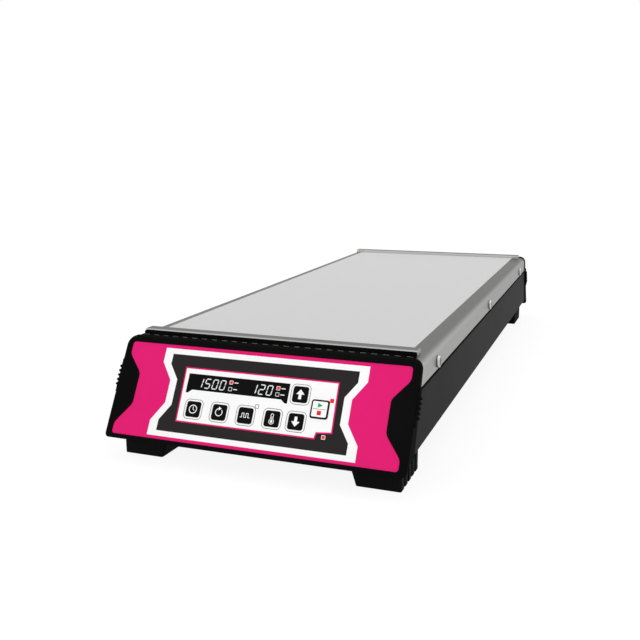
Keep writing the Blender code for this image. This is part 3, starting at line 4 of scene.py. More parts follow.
import bmesh
import bpy
from mathutils import Matrix, Vector


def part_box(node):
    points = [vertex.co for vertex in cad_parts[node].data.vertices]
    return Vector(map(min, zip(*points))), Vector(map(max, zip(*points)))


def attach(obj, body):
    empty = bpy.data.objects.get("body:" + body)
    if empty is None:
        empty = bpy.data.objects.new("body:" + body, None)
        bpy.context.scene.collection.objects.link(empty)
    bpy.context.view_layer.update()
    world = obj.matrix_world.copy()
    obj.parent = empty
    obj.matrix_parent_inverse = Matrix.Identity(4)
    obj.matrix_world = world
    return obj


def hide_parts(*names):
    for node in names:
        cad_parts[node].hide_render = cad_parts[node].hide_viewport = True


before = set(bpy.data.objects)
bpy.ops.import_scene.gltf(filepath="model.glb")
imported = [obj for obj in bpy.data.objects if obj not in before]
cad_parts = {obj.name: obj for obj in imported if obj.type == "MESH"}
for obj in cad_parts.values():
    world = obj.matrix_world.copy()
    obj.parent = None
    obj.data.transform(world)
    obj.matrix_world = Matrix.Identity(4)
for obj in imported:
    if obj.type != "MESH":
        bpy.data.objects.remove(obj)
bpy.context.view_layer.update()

# Room: camera, bench and lamps
# A white sheet lies under and behind the instrument, and broad soft lamps light it from above, from
# the front and from its right. The camera stands off the right front corner, a little above the top.
CAMERA_PLACE = (0.23407, -0.77581, 0.22221)
CAMERA_TURN = math.radians(21.027)
CAMERA_DROP = math.radians(12.07)
CAMERA_ROLL = math.radians(-0.394)
CAMERA_LENS = 45
CAMERA_SENSOR = 36
SHEET_SIZE = 40
SHEET_SHARE = 0.84
SHEET_GLOW = 0.90
ROOM_LIGHT = 0.38
LAMPS = (
    ("lamp_above", (-0.20, -0.15, 1.50), 1.15, 70),
    ("lamp_front", (-0.55, -1.50, 0.75), 1.00, 60),
    ("lamp_right", (1.50, 0.10, 0.55), 0.90, 60),
)


class Flow:
    """One value or colour inside a material, so that its maths is written as a plain expression."""

    def __init__(self, nodes, socket):
        self.nodes = nodes
        self.socket = socket

    def maths(self, operation, *values):
        return self.nodes.node("ShaderNodeMath", {"operation": operation}, dict(enumerate(values)))

    def __add__(self, other):
        return self.maths("ADD", self, other)

    def __sub__(self, other):
        return self.maths("SUBTRACT", self, other)

    def __mul__(self, other):
        return self.maths("MULTIPLY", self, other)

    def __pow__(self, power):
        return self.maths("POWER", self, power)

    def larger(self, other):
        return self.maths("MAXIMUM", self, other)

    def repeat(self, length):
        """The part of the value that is left over whole lengths."""
        return self.maths("FLOORED_MODULO", self, length)

    def wave(self, length):
        """A wave from 0 to 1 that repeats at each length."""
        return self.maths("SINE", self * (2 * math.pi / length)) * 0.5 + 0.5

    def rise(self, low, high):
        """0 below low and 1 above high, with a soft step between them."""
        return self.nodes.node(
            "ShaderNodeMapRange", {"interpolation_type": "SMOOTHSTEP"},
            {"Value": self, "From Min": low, "From Max": high},
        )


class Nodes:
    """The nodes of a material or of the room's air."""

    def __init__(self, owner):
        owner.use_nodes = True
        self.tree = owner.node_tree

    def part(self, name):
        return self.tree.nodes[name]

    def feed(self, socket, value):
        if isinstance(value, Flow):
            self.tree.links.new(value.socket, socket)
        else:
            socket.default_value = value

    def node(self, kind, settings=None, sockets=None, output=0):
        """Any node, with its settings and its sockets, which are values or patterns."""
        made = self.tree.nodes.new(kind)
        for name, value in (settings or {}).items():
            setattr(made, name, value)
        for key, value in (sockets or {}).items():
            self.feed(made.inputs[key], value)
        return Flow(self, made.outputs[output])

    def seen(self):
        """1 where the camera, a mirror or glass looks, and 0 where light falls."""
        straight = self.node("ShaderNodeLightPath", output="Is Camera Ray")
        mirrored = self.node("ShaderNodeLightPath", output="Is Glossy Ray")
        through = self.node("ShaderNodeLightPath", output="Is Transmission Ray")
        return straight.larger(mirrored).larger(through)


class Finish(Nodes):
    """A material with its shader, to which patterns are added as nodes."""

    def __init__(self, name, **plain):
        self.material = bpy.data.materials.new(name)
        super().__init__(self.material)
        self.set(**plain)

    def set(self, **sockets):
        """Sets the shader's sockets, named with _ for each space, to values or patterns."""
        for name, value in sockets.items():
            if name.endswith("Color"):
                value = self.colour(value)
            self.feed(self.part("Principled BSDF").inputs[name.replace("_", " ")], value)
        return self

    def colour(self, value):
        return value if isinstance(value, Flow) else (*value, 1)

    def place(self, stretch=(1, 1, 1)):
        """The place on the object, stretched along each axis."""
        where = self.node("ShaderNodeTexCoord", output="Object")
        return self.node("ShaderNodeMapping", None, {"Vector": where, "Scale": stretch})

    def axis(self, index):
        """The place along one axis, in metres."""
        return self.node("ShaderNodeSeparateXYZ", None, {0: self.place()}, output=index)

    def noise(self, scale, detail=3, stretch=(1, 1, 1)):
        return self.node(
            "ShaderNodeTexNoise", None, {"Vector": self.place(stretch), "Scale": scale, "Detail": detail}
        )

    def cells(self, scale):
        """The distance to the middle of the nearest of many irregular cells."""
        return self.node("ShaderNodeTexVoronoi", None, {"Vector": self.place(), "Scale": scale})

    def blend(self, share, first, second):
        """A colour between two, by a share that varies over the surface."""
        first_colour, second_colour, mixed_colour = 6, 7, 2
        return self.node(
            "ShaderNodeMix", {"data_type": "RGBA"},
            {"Factor": share, first_colour: self.colour(first), second_colour: self.colour(second)},
            output=mixed_colour,
        )

    def bump(self, height, distance, strength=0.5):
        return self.node(
            "ShaderNodeBump", None, {"Height": height, "Strength": strength, "Distance": distance}
        )


def deselect():
    if bpy.context.object and bpy.context.object.mode == "EDIT":
        bpy.ops.object.mode_set(mode="OBJECT")
    bpy.ops.object.select_all(action="DESELECT")


def begin(name, kind, stretch=(1, 1, 1), **options):
    """Adds a primitive with all else deselected, draws it out, and puts its place in its mesh."""
    deselect()
    getattr(bpy.ops.mesh, f"primitive_{kind}_add")(**options)
    piece = bpy.context.object
    piece.scale = stretch
    bpy.ops.object.transform_apply(location=True, rotation=True, scale=True)
    piece.name = piece.data.name = name
    return piece


camera_view = Matrix.Rotation(CAMERA_TURN, 4, "Z")
camera_view @= Matrix.Rotation(math.pi / 2 - CAMERA_DROP, 4, "X")
camera_view @= Matrix.Rotation(CAMERA_ROLL, 4, "Z")
deselect()
bpy.ops.object.camera_add(location=CAMERA_PLACE, rotation=camera_view.to_euler())
bpy.context.object.data.lens = CAMERA_LENS
bpy.context.object.data.sensor_width = CAMERA_SENSOR
bpy.context.scene.camera = bpy.context.object
bpy.context.scene.view_settings.view_transform = "Standard"

for name, place, strength, breadth in LAMPS:
    turn = Vector(place).to_track_quat("Z", "Y").to_euler()
    bpy.ops.object.light_add(type="SUN", location=place, rotation=turn)
    bpy.context.object.name = name
    bpy.context.object.data.angle = math.radians(breadth)
    bpy.context.object.data.energy = strength
    bpy.context.object.visible_glossy = False

bpy.context.scene.world = bpy.data.worlds.new("white_room")
air = Nodes(bpy.context.scene.world)
air.feed(air.part("Background").inputs["Color"], (1, 1, 1, 1))
air.feed(air.part("Background").inputs["Strength"], air.seen() * (1 - ROOM_LIGHT) + ROOM_LIGHT)

sheet = begin("bench_sheet", "plane", size=SHEET_SIZE)
white_sheet = Finish("white_sheet", Roughness=0.9, Specular_IOR_Level=0.0)
sheet_tone = white_sheet.blend(white_sheet.noise(40), (0.78, 0.78, 0.78), (0.80, 0.80, 0.80))
white_sheet.set(Base_Color=sheet_tone)
paper = Flow(white_sheet, white_sheet.part("Principled BSDF").outputs[0])
dimmed = white_sheet.node("ShaderNodeMixShader", None, {0: SHEET_SHARE, 1: paper})
glow = white_sheet.node("ShaderNodeEmission", None, {"Strength": SHEET_GLOW})
lifted = white_sheet.node("ShaderNodeAddShader", None, {0: dimmed, 1: glow})
shown = white_sheet.node("ShaderNodeMixShader", None, {0: white_sheet.seen(), 1: paper, 2: lifted})
white_sheet.feed(white_sheet.part("Material Output").inputs[0], shown)
sheet.data.materials.append(white_sheet.material)

# Top cover
# One sheet of brushed stainless steel, folded down at both sides, with a sunk frame for the work
# surface and a raised bead pressed across each end. Its side flanges are screwed to the base tray.
STEEL_SHEET = 0.0012
SIDE_BEND = 0.006
SHOULDER_FALL = 0.0010
BEAD_HEIGHT = 0.0035
FIT = 0.0003
LEDGE_WIDTH = 0.005
BEAD_DEPTH = 0.0090
BEAD_ROUND = 0.0013
END_FLANGE = 0.0120
SEAM_LEAN = math.radians(20)
SHEET_EDGE = 0.00025
SCREW_HOLE = 0.0022
BEYOND_SEAM = 1.05
TINY = 0.0001

cover_low, cover_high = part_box("top_cover")
plate_low, plate_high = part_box("work_surface")
tray_low, tray_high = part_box("base_tray")
body_half = cover_high.x
cover_top = cover_high.z - BEAD_HEIGHT
frame_half = (plate_high.x + FIT, plate_high.y + FIT)
bead_end = frame_half[1] + BEAD_DEPTH
bead_side = body_half - SIDE_BEND
screw_places = [sum(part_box(f"cover_screw_right_{row}"), Vector()) / 2 for row in (1, 2, 3)]


def block(name, low, high):
    """A cube drawn out between two corners."""
    piece = begin(name, "cube", [top - bottom for bottom, top in zip(low, high)], size=1)
    piece.data.transform(Matrix.Translation([(top + bottom) / 2 for bottom, top in zip(low, high)]))
    return piece


def take(piece):
    """Selects one piece and nothing else."""
    deselect()
    bpy.context.view_layer.objects.active = piece
    piece.select_set(True)


def edit(piece):
    """Opens a piece for work on its faces, edges and corners."""
    take(piece)
    bpy.ops.object.mode_set(mode="EDIT")


def choose(kind, test):
    """Selects the verts, edges or faces of the open piece that pass a test."""
    bpy.ops.mesh.select_mode(type={"verts": "VERT", "edges": "EDGE", "faces": "FACE"}[kind])
    bpy.ops.mesh.select_all(action="DESELECT")
    shape = bmesh.from_edit_mesh(bpy.context.object.data)
    for item in getattr(shape, kind):
        if test(item):
            item.select_set(True)
    shape.select_flush_mode()
    bmesh.update_edit_mesh(bpy.context.object.data)


def middle_of(item):
    """The middle of a face or edge."""
    return sum((vert.co for vert in item.verts), Vector()) / len(item.verts)


def edge_at(test):
    """A test for edges by the place of their middle."""
    return lambda edge: test(middle_of(edge))


def along(index):
    """A test for edges that run along an axis."""
    return lambda edge: abs(edge.verts[0].co[index] - edge.verts[1].co[index]) > TINY


def facing(index, way):
    """A test for faces that face along an axis, forwards (1) or backwards (-1)."""
    return lambda face: way * face.normal[index] > 0.9


def across_ends(face):
    """A test for faces that close the front or rear end."""
    return abs(face.normal.y) > 0.9


def rim_of(test):
    """A test for edges that border the faces that pass a test."""
    return lambda edge: len([face for face in edge.link_faces if test(face)]) == 1


def round_off(width, segments=3):
    """Rounds the chosen edges."""
    bpy.ops.mesh.bevel(offset=width, segments=segments, affect="EDGES")


def pull(move):
    """Extrudes what is chosen."""
    bpy.ops.mesh.extrude_region_move(TRANSFORM_OT_translate={"value": move})


def split(place, normal, clear=False, fill=False):
    """Cuts the open piece with a plane, and clears what lies on the normal's side if asked."""
    bpy.ops.mesh.select_mode(type="VERT")
    bpy.ops.mesh.select_all(action="SELECT")
    bpy.ops.mesh.bisect(plane_co=place, plane_no=normal, clear_outer=clear, use_fill=fill)


def modify(piece, kind, **settings):
    """Puts a modifier on a piece and applies it."""
    take(piece)
    modifier = piece.modifiers.new(kind.title(), kind)
    for name, value in settings.items():
        setattr(modifier, name, value)
    bpy.ops.object.modifier_apply(modifier=modifier.name)
    return piece


def carve(piece, tool, operation="DIFFERENCE"):
    """Cuts a tool out of a piece, or unites it with the piece, and removes the tool."""
    modify(piece, "BOOLEAN", operation=operation, object=tool)
    bpy.data.objects.remove(tool)
    return piece


def together(name, pieces):
    """Several pieces made one object."""
    deselect()
    for piece in pieces:
        piece.select_set(True)
    bpy.context.view_layer.objects.active = pieces[0]
    bpy.ops.object.join()
    whole = bpy.context.object
    whole.name = whole.data.name = name
    return whole


def another(piece, name, matrix=Matrix.Identity(4)):
    """A copy of a piece with its own mesh, moved in its mesh."""
    deselect()
    copy = piece.copy()
    copy.data = piece.data.copy()
    copy.name = copy.data.name = name
    bpy.context.scene.collection.objects.link(copy)
    copy.data.transform(matrix)
    return copy


def moved(piece, matrix):
    """The same piece, moved in its mesh."""
    deselect()
    piece.data.transform(matrix)
    return piece


def soften(piece, width, segments=2):
    """Breaks the sharp edges of a piece."""
    sharp = math.radians(40)
    return modify(piece, "BEVEL", width=width, segments=segments, limit_method="ANGLE", angle_limit=sharp)


def spaced(count, pitch):
    """Places a pitch apart, as many on one side of the middle as on the other."""
    return [(step - (count - 1) / 2) * pitch for step in range(count)]


def hand_in(piece, finish, body, slot, *nodes):
    """Gives a piece its shading, its material and the body that it rides on. The slot is not used."""
    take(piece)
    bpy.ops.object.shade_smooth_by_angle(angle=math.radians(35))
    modify(piece, "WEIGHTED_NORMAL", keep_sharp=True)
    piece.data.materials.clear()
    piece.data.materials.append(finish.material)
    if nodes:
        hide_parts(*nodes)
    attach(piece, body)
    return piece


def metal(name, light, dark, lines, roughness=0.32):
    """Brushed metal whose lines run along one axis. Its tone is painted light: it takes the second colour
    where it faces up, standing in for the different reflection on the top and the sides.
    """
    finish = Finish(name, Metallic=1.0, Specular_Tint=(0.5, 0.5, 0.5, 1))
    stretch = [1.0, 1.0, 1.0]
    stretch["xyz".index(lines)] = 0.01
    grain = finish.noise(2600, 2, stretch) * 0.65 + finish.noise(240, 2, stretch) * 0.35
    marks = finish.noise(14, 4)
    # Painted light: faces that point up take the second colour, in place of their different reflection.
    normal = finish.node("ShaderNodeTexCoord", output="Normal")
    painted_facing_light = finish.node("ShaderNodeSeparateXYZ", None, {0: normal}, output="Z")
    tone = finish.blend(painted_facing_light.rise(0.35, 0.97), light, dark)
    tone = finish.blend(grain.rise(0.35, 0.70) * 0.20, tone, [part * 0.78 for part in light])
    finish.set(
        Base_Color=tone,
        Roughness=grain * 0.12 + marks.rise(0.40, 0.75) * 0.05 + (roughness - 0.06),
        Normal=finish.bump(grain, 0.00003, 0.35),
    )
    return finish


def screw_drill():
    """Drills for the six cover screws, which go right through from side to side."""
    drills = []
    for place in screw_places:
        drills.append(begin(
            "drill", "cylinder", vertices=24, radius=SCREW_HOLE, depth=3 * body_half,
            location=(0, place.y, place.z), rotation=(0, math.pi / 2, 0),
        ))
    return together("screw_drill", drills)


def seam(side, shift=0):
    """A point on the leaning seam at the front (-1) or the rear (1), and its outward normal."""
    normal = Vector((0, side * math.cos(SEAM_LEAN), math.sin(SEAM_LEAN)))
    return Vector((0, side * tray_high.y, tray_low.z)) + normal * shift, normal


def top_face(reach_x, low_y, high_y):
    """A test for faces of the top within a half width and between two distances from the middle."""
    def test(face):
        place = middle_of(face)
        return face.normal.z > 0.7 and abs(place.x) < reach_x and low_y < abs(place.y) < high_y
    return test


cover = block(
    "cover_sheet",
    (-body_half, cover_low.y * BEYOND_SEAM, cover_low.z),
    (body_half, cover_high.y * BEYOND_SEAM, cover_top - SHOULDER_FALL),
)
edit(cover)
choose("faces", lambda face: facing(2, -1)(face) or across_ends(face))
bpy.ops.mesh.delete(type="FACE")
choose("edges", edge_at(lambda co: abs(co.x) > bead_side and co.z > cover_top - 2 * SHOULDER_FALL))
round_off(SIDE_BEND, 10)
for side in (-1, 1):
    split((side * frame_half[0], 0, 0), (1, 0, 0))
    split((side * bead_side, 0, 0), (1, 0, 0))
    split((0, side * frame_half[1], 0), (0, 1, 0))
    split((0, side * bead_end, 0), (0, 1, 0))
choose("verts", lambda vert: abs(vert.co.x) < frame_half[0] + TINY)
bpy.ops.transform.translate(value=(0, 0, SHOULDER_FALL))
choose("faces", top_face(bead_side, bead_end, math.inf))
bpy.ops.mesh.delete(type="FACE")
choose("faces", top_face(frame_half[0], -1, frame_half[1]))
pull((0, 0, plate_low.z - FIT - cover_top))
bpy.ops.mesh.inset(thickness=LEDGE_WIDTH + FIT)
bpy.ops.mesh.delete(type="FACE")
choose("edges", edge_at(lambda co: abs(abs(co.y) - bead_end) < TINY and abs(co.x) < bead_side - TINY))
pull((0, 0, -END_FLANGE))
bpy.ops.transform.resize(value=(1, 1, 0), center_override=(0, 0, cover_top - END_FLANGE))
choose("faces", top_face(bead_side, frame_half[1], bead_end))
pull((0, 0, BEAD_HEIGHT))
bpy.ops.transform.resize(value=(1, 1, 0), center_override=(0, 0, cover_high.z))
choose("edges", lambda edge: middle_of(edge).z > cover_high.z - TINY and rim_of(facing(2, 1))(edge))
round_off(BEAD_ROUND, 4)
for side in (-1, 1):
    place, normal = seam(side)
    split(place, normal, clear=True)
modify(cover, "SOLIDIFY", thickness=STEEL_SHEET, offset=-1, use_even_offset=True)
carve(cover, screw_drill())
soften(cover, SHEET_EDGE)
# The cover's up-facing top and bead are painted darker than its side flanges: painted shade standing in
# for the dimmer reflection on the top.
steel = metal("brushed_stainless", (0.575, 0.575, 0.555), (0.255, 0.255, 0.250), "y")
hand_in(cover, steel, "housing", "stainless_steel", "top_cover")

# Cover screws
# Six button-head steel screws, three a side, turned with a domed head and a hexagon socket. They go
# through the cover's flanges into the lips of the tray.
HEAD_RADIUS = 0.0045
HEAD_HEIGHT = 0.0019
HEAD_DOME = 0.0010
SOCKET_RADIUS = 0.0031
SOCKET_DEPTH = 0.0008
SHANK_RADIUS = 0.0019
SHANK_LENGTH = 0.0072
THREAD_PITCH = 0.0008
THREAD_STEPS = ((-0.3, 0.86), (-0.2, 1), (-0.3, 1 / 0.86), (-0.2, 1))
HEAD_EDGE = 0.00012

head = begin(
    "screw_head", "cylinder", vertices=48, radius=HEAD_RADIUS, depth=HEAD_HEIGHT,
    location=(0, 0, HEAD_HEIGHT / 2),
)
edit(head)
choose("edges", edge_at(lambda co: co.z > HEAD_HEIGHT - TINY))
round_off(HEAD_DOME, 6)
choose("faces", facing(2, -1))
bpy.ops.mesh.inset(thickness=HEAD_RADIUS - SHANK_RADIUS)
for turn in range(int(SHANK_LENGTH / THREAD_PITCH)):
    for step, width in THREAD_STEPS:
        pull((0, 0, step * THREAD_PITCH))
        bpy.ops.transform.resize(value=(width, width, 1))
carve(head, begin(
    "hexagon", "cylinder", vertices=6, radius=SOCKET_RADIUS, depth=2 * SOCKET_DEPTH,
    location=(0, 0, HEAD_HEIGHT),
))
soften(head, HEAD_EDGE)
# The screw heads are painted brighter where they face up: a painted highlight on the upper part of each
# dome.
bright = metal("bright_screw_steel", (0.58, 0.58, 0.57), (0.90, 0.90, 0.89), "x", 0.24)
for side, turn in (("right", 1), ("left", -1)):
    for row, place in enumerate(screw_places):
        seat = Matrix.Translation((turn * (body_half + FIT), place.y, place.z))
        seat @= Matrix.Rotation(turn * math.pi / 2, 4, "Y")
        name = f"screw_{side}_{row + 1}"
        hand_in(another(head, name, seat), bright, "housing", "screw_steel", "cover_" + name)
bpy.data.objects.remove(head)

# Work surface
# A flat plate with a pale, finely textured coating that takes heat. It lies loose in the sunk frame
# of the cover, with the heater under it, and lifts out for cleaning.
PLATE_CORNER = 0.0012
PLATE_EDGE = 0.0005

plate = block("work_plate", plate_low, plate_high)
edit(plate)
choose("edges", along(2))
round_off(PLATE_CORNER, 4)
soften(plate, PLATE_EDGE, 3)
coating = Finish("pale_coating", Specular_IOR_Level=0.25)
speckle = coating.noise(1500, 3)
cloud = coating.noise(9, 4)
tone = coating.blend(speckle.rise(0.35, 0.65) * 0.5 + cloud * 0.5, (0.57, 0.57, 0.57), (0.63, 0.63, 0.63))
coating.set(Base_Color=tone, Roughness=cloud * 0.10 + 0.42, Normal=coating.bump(speckle, 0.00004, 0.35))
hand_in(plate, coating, "housing", "coated_plate", "work_surface")

# Base tray
# Sheet steel, folded up at both sides and coated in dark grey. Its upper lips step in behind the
# cover's flanges, and its floor has cooling slots and standoffs for the two boards.
TRAY_SHEET = 0.0015
TRAY_BEND = 0.0018
TRAY_SEAM = 0.0024
VENT_LENGTH = 0.026
VENT_WIDTH = 0.003
VENT_PITCH = 0.009
VENT_COUNT = 8
VENT_PLACE = (0.0920, 0.110)
STANDOFF_RADIUS = 0.003
STANDOFF_HEIGHT = 0.005
STANDOFF_INSET = 0.006
STANDOFF_EDGE = 0.0003

side_top = cover_low.z - TRAY_SEAM
tray = block(
    "tray_sheet", (-body_half, tray_low.y * BEYOND_SEAM, tray_low.z),
    (body_half, tray_high.y * BEYOND_SEAM, side_top),
)
edit(tray)
choose("faces", lambda face: facing(2, 1)(face) or across_ends(face))
bpy.ops.mesh.delete(type="FACE")
choose("edges", edge_at(lambda co: abs(co.x) > bead_side and co.z < tray_low.z + TINY))
round_off(TRAY_BEND, 6)
for side in (-1, 1):
    choose("edges", edge_at(lambda co: side * co.x > bead_side and co.z > side_top - TINY))
    pull((-side * (STEEL_SHEET + FIT), 0, 0))
    pull((0, 0, tray_high.z - side_top))
for side in (-1, 1):
    place, normal = seam(side)
    split(place, normal, clear=True)
modify(tray, "SOLIDIFY", thickness=TRAY_SHEET, offset=-1, use_even_offset=True)
slot = block(
    "slot", (-VENT_LENGTH / 2, -VENT_WIDTH / 2, tray_low.z - TRAY_SHEET),
    (VENT_LENGTH / 2, VENT_WIDTH / 2, tray_low.z + 2 * TRAY_SHEET),
)
edit(slot)
choose("edges", along(2))
round_off(VENT_WIDTH / 2 - TINY, 5)
slots = []
for side_x in (-1, 1):
    for side_y in (-1, 1):
        for shift in spaced(VENT_COUNT, VENT_PITCH):
            place = (side_x * VENT_PLACE[0], side_y * VENT_PLACE[1] + shift, 0)
            slots.append(another(slot, "vent_slot", Matrix.Translation(place)))
bpy.data.objects.remove(slot)
carve(tray, together("vent_slots", slots))
carve(tray, screw_drill())
soften(tray, SHEET_EDGE)
pieces = [tray]
for board in ("control_board", "power_board"):
    low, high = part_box(board)
    for x in (low.x + STANDOFF_INSET, high.x - STANDOFF_INSET):
        for y in (low.y + STANDOFF_INSET, high.y - STANDOFF_INSET):
            standoff = begin(
                "standoff", "cylinder", vertices=6, radius=STANDOFF_RADIUS, depth=STANDOFF_HEIGHT,
                location=(x, y, tray_low.z + TRAY_SHEET + STANDOFF_HEIGHT / 2),
            )
            pieces.append(soften(standoff, STANDOFF_EDGE))
tray = together("tray_sheet", pieces)
paint = Finish("dark_powder_coat", Specular_IOR_Level=0.012)
peel = paint.noise(900, 3)
drift = paint.noise(8, 4)
paint.set(
    Base_Color=paint.blend(drift.rise(0.30, 0.70), (0.013, 0.013, 0.014), (0.018, 0.018, 0.019)),
    Roughness=peel * 0.12 + 0.44,
    Normal=paint.bump(peel, 0.00005, 0.4),
)
hand_in(tray, paint, "housing", "tray_paint", "base_tray")

# End caps
# Two hollow black mouldings close the ends of the sheet body. Each leans back, has finger ribs on
# both sides and a row of slots along its top lip, and is clipped between the cover and the tray.
FACE_LEAN = math.radians(30)
CHIN_REACH = 0.314402
CAP_WALL = 0.0025
CAP_TOP_DEPTH = 0.0099
CAP_CORNER = 0.0066
CAP_PROUD = 0.0007
CAP_EDGE = 0.0017
CHIN_WALL = 0.0032
SLOT_COUNT = 26
SLOT_LENGTH = 0.0045
SLOT_WIDTH = 0.0018
SLOT_DEPTH = 0.0010
SLOT_MARGIN = 0.0010
UPSTAND_HEIGHT = 0.0024
UPSTAND_DEPTH = 0.0018
UPSTAND_ROUND = 0.0016
LIP_GROOVE = 0.0014
RIB_COUNT = 5
RIB_PITCH = 0.0034
RIB_WIDTH = 0.0019
RIB_PROUD = 0.0027
RIB_LENGTH = 0.0062
RIB_SETBACK = 0.0012
RIB_START = 0.0400
RIB_ROUND = 0.0005
PAD_START = 0.0350
PAD_LENGTH = 0.0258
PAD_PROUD = 0.0017
PAD_MARGIN = 0.0003
MOULD_EDGE = 0.0003

chin = Vector((0, -CHIN_REACH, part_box("front_cap")[0].z))
cap_top = cover_top
face_out = Vector((0, -math.cos(FACE_LEAN), math.sin(FACE_LEAN)))
front_face = Matrix.Translation(chin) @ Matrix.Rotation(math.pi / 2 - FACE_LEAN, 4, "X")
half_turn = Matrix.Rotation(math.pi, 4, "Z")
top_front = chin.y + (cap_top - chin.z) * math.tan(FACE_LEAN)
lip_back = top_front + CAP_TOP_DEPTH


def leaning(name, low, high, depth=0):
    """A block whose front is trimmed by the leaning face, or by a plane at a depth under it."""
    piece = block(name, low, high)
    edit(piece)
    split(chin - face_out * depth, face_out, clear=True, fill=True)
    return piece


def on_face(face):
    """A test for faces that lie in the leaning face or level with it."""
    return face.normal.dot(face_out) > 0.999


cap_half = body_half + CAP_PROUD
shell = leaning("cap_shell", (-cap_half, chin.y, chin.z), (cap_half, lip_back, cap_top))
place, normal = seam(-1, FIT)
split(place, -normal, clear=True, fill=True)
choose("edges", edge_at(lambda co: abs(co.x) > cap_half - TINY and co.z > cap_top - TINY))
round_off(CAP_CORNER, 8)
choose("edges", edge_at(lambda co: abs(co.x) > cap_half - TINY and co.z < chin.z + TINY))
round_off(CHIN_WALL, 6)
choose("edges", rim_of(on_face))
round_off(CAP_EDGE, 5)
carve(shell, leaning(
    "under_chin", (-cap_half - CAP_WALL, chin.y, chin.z - CAP_WALL),
    (cap_half + CAP_WALL, lip_back, tray_low.z), CHIN_WALL,
))
carve(shell, leaning(
    "hollow", (-body_half + CAP_WALL, chin.y, tray_low.z + CAP_WALL),
    (body_half - CAP_WALL, lip_back + CAP_CORNER, cap_top - CAP_WALL), CAP_WALL,
))
reach = bead_side - FIT
upstand_back = -bead_end - FIT
upstand_front = upstand_back - UPSTAND_DEPTH
lip = block("lip", (-reach, top_front + CAP_WALL, cap_top - CAP_WALL), (reach, upstand_back, cap_top))
edit(lip)
split((0, lip_back, 0), (0, 1, 0))
split((0, upstand_front, 0), (0, 1, 0))
choose("faces", lambda face: facing(2, 1)(face) and middle_of(face).y > upstand_front)
pull((0, 0, UPSTAND_HEIGHT))
choose("faces", lambda face: facing(2, 1)(face) and lip_back < middle_of(face).y < upstand_front)
pull((0, 0, -LIP_GROOVE))
choose("edges", lambda edge: along(1)(edge) and middle_of(edge).z > cap_top + TINY)
round_off(UPSTAND_ROUND, 6)
carve(shell, lip, "UNION")
slots = []
strips = []
back = lip_back - SLOT_MARGIN
front, middle = back - SLOT_WIDTH, back - SLOT_WIDTH / 2
for x in spaced(SLOT_COUNT, 2 * bead_side / SLOT_COUNT):
    left, right = x - SLOT_LENGTH / 2, x + SLOT_LENGTH / 2
    slots.append(block("slot", (left, front, cap_top - SLOT_DEPTH), (right, back, cap_top + SLOT_DEPTH)))
    strips.append(block(
        "strip", (left + TINY, middle, cap_top - SLOT_DEPTH - TINY),
        (right - TINY, back - TINY, cap_top - TINY),
    ))
carve(shell, together("lip_slots", slots))
strips = soften(together("slot_strips", strips), TINY)
soften(shell, MOULD_EDGE)
rib = block(
    "rib", (body_half - CAP_WALL / 2, RIB_START, -RIB_SETBACK - RIB_LENGTH),
    (body_half + RIB_PROUD, RIB_START + RIB_WIDTH, -RIB_SETBACK),
)
soften(rib, RIB_ROUND, 3)
pad = block(
    "rib_pad", (body_half - CAP_WALL / 2, PAD_START, -RIB_SETBACK - RIB_LENGTH + PAD_MARGIN),
    (body_half + PAD_PROUD, PAD_START + PAD_LENGTH, -RIB_SETBACK - PAD_MARGIN),
)
soften(pad, RIB_ROUND, 3)
ribs = []
for piece, proud, count in ((rib, RIB_PROUD, RIB_COUNT), (pad, PAD_PROUD, 1)):
    for across in (0, CAP_WALL / 2 - proud - 2 * body_half):
        for step in range(count):
            place = Matrix.Translation((across, step * RIB_PITCH, 0))
            ribs.append(another(piece, "rib", front_face @ place))
    bpy.data.objects.remove(piece)
ribs = together("finger_ribs", ribs)


def moulded(name, light, dark, roughness, specular, grain=1800, depth=0.00003):
    """Moulded plastic or rubber with the fine grain of its mould and a slow drift in tone."""
    finish = Finish(name, Specular_IOR_Level=specular)
    pores = finish.noise(grain, 3)
    drift = finish.noise(12, 4)
    finish.set(
        Base_Color=finish.blend(drift.rise(0.30, 0.70), dark, light),
        Roughness=pores * 0.10 + drift * 0.08 + (roughness - 0.09),
        Normal=finish.bump(pores, depth, 0.4),
    )
    return finish


cap_black = moulded("black_moulding", (0.0056, 0.0056, 0.0056), (0.0044, 0.0044, 0.0045), 0.46, 0.0012)

# Front cap
# The front moulding has a shallow recess for the control panel, with openings for the display and
# the seven keys, and four bosses behind them that carry the display board.
PANEL_SUNK = 0.0005
PANEL_THICK = 0.0008
LABEL = ((108.3, 4.0), (108.3, 12.0), (96.7, 27.2), (96.7, 50.6), (108.3, 64.4), (108.3, 74.2))
WINDOW = ((-55.1, 23.8), 40.2, 42.6, 53.8)
FOOT_FLAT = 1.5
FOOT_REACH = 4.5
LABEL_CORNER = 2.4
DISPLAY_MARGIN = 1.2
KEY_SIZE = 10.8
KEY_ROW = 28.3
KEYS = {
    "time_key": (-46.2, KEY_ROW, KEY_SIZE),
    "speed_key": (-25.5, KEY_ROW, KEY_SIZE),
    "pulse_key": (-5.1, KEY_ROW, KEY_SIZE),
    "temperature_key": (15.3, KEY_ROW, KEY_SIZE),
    "down_key": (32.9, KEY_ROW, KEY_SIZE),
    "up_key": (32.8, 47.3, KEY_SIZE),
    "start_stop_key": (48.5, 38.6, 12.6),
}
KEY_CORNER = 1.5
HOLE_GAP = 0.3
MILLIMETRE = 0.001
BOSS_RADIUS = 0.003
BOSS_DEPTH = 0.0082
BOSSES = (0.063, (0.0235, 0.0535))


def both_sides(half):
    """An outline that is the same left and right, from its right half read upwards, in millimetres."""
    return [*half, *[(-x, y) for x, y in reversed(half)]]


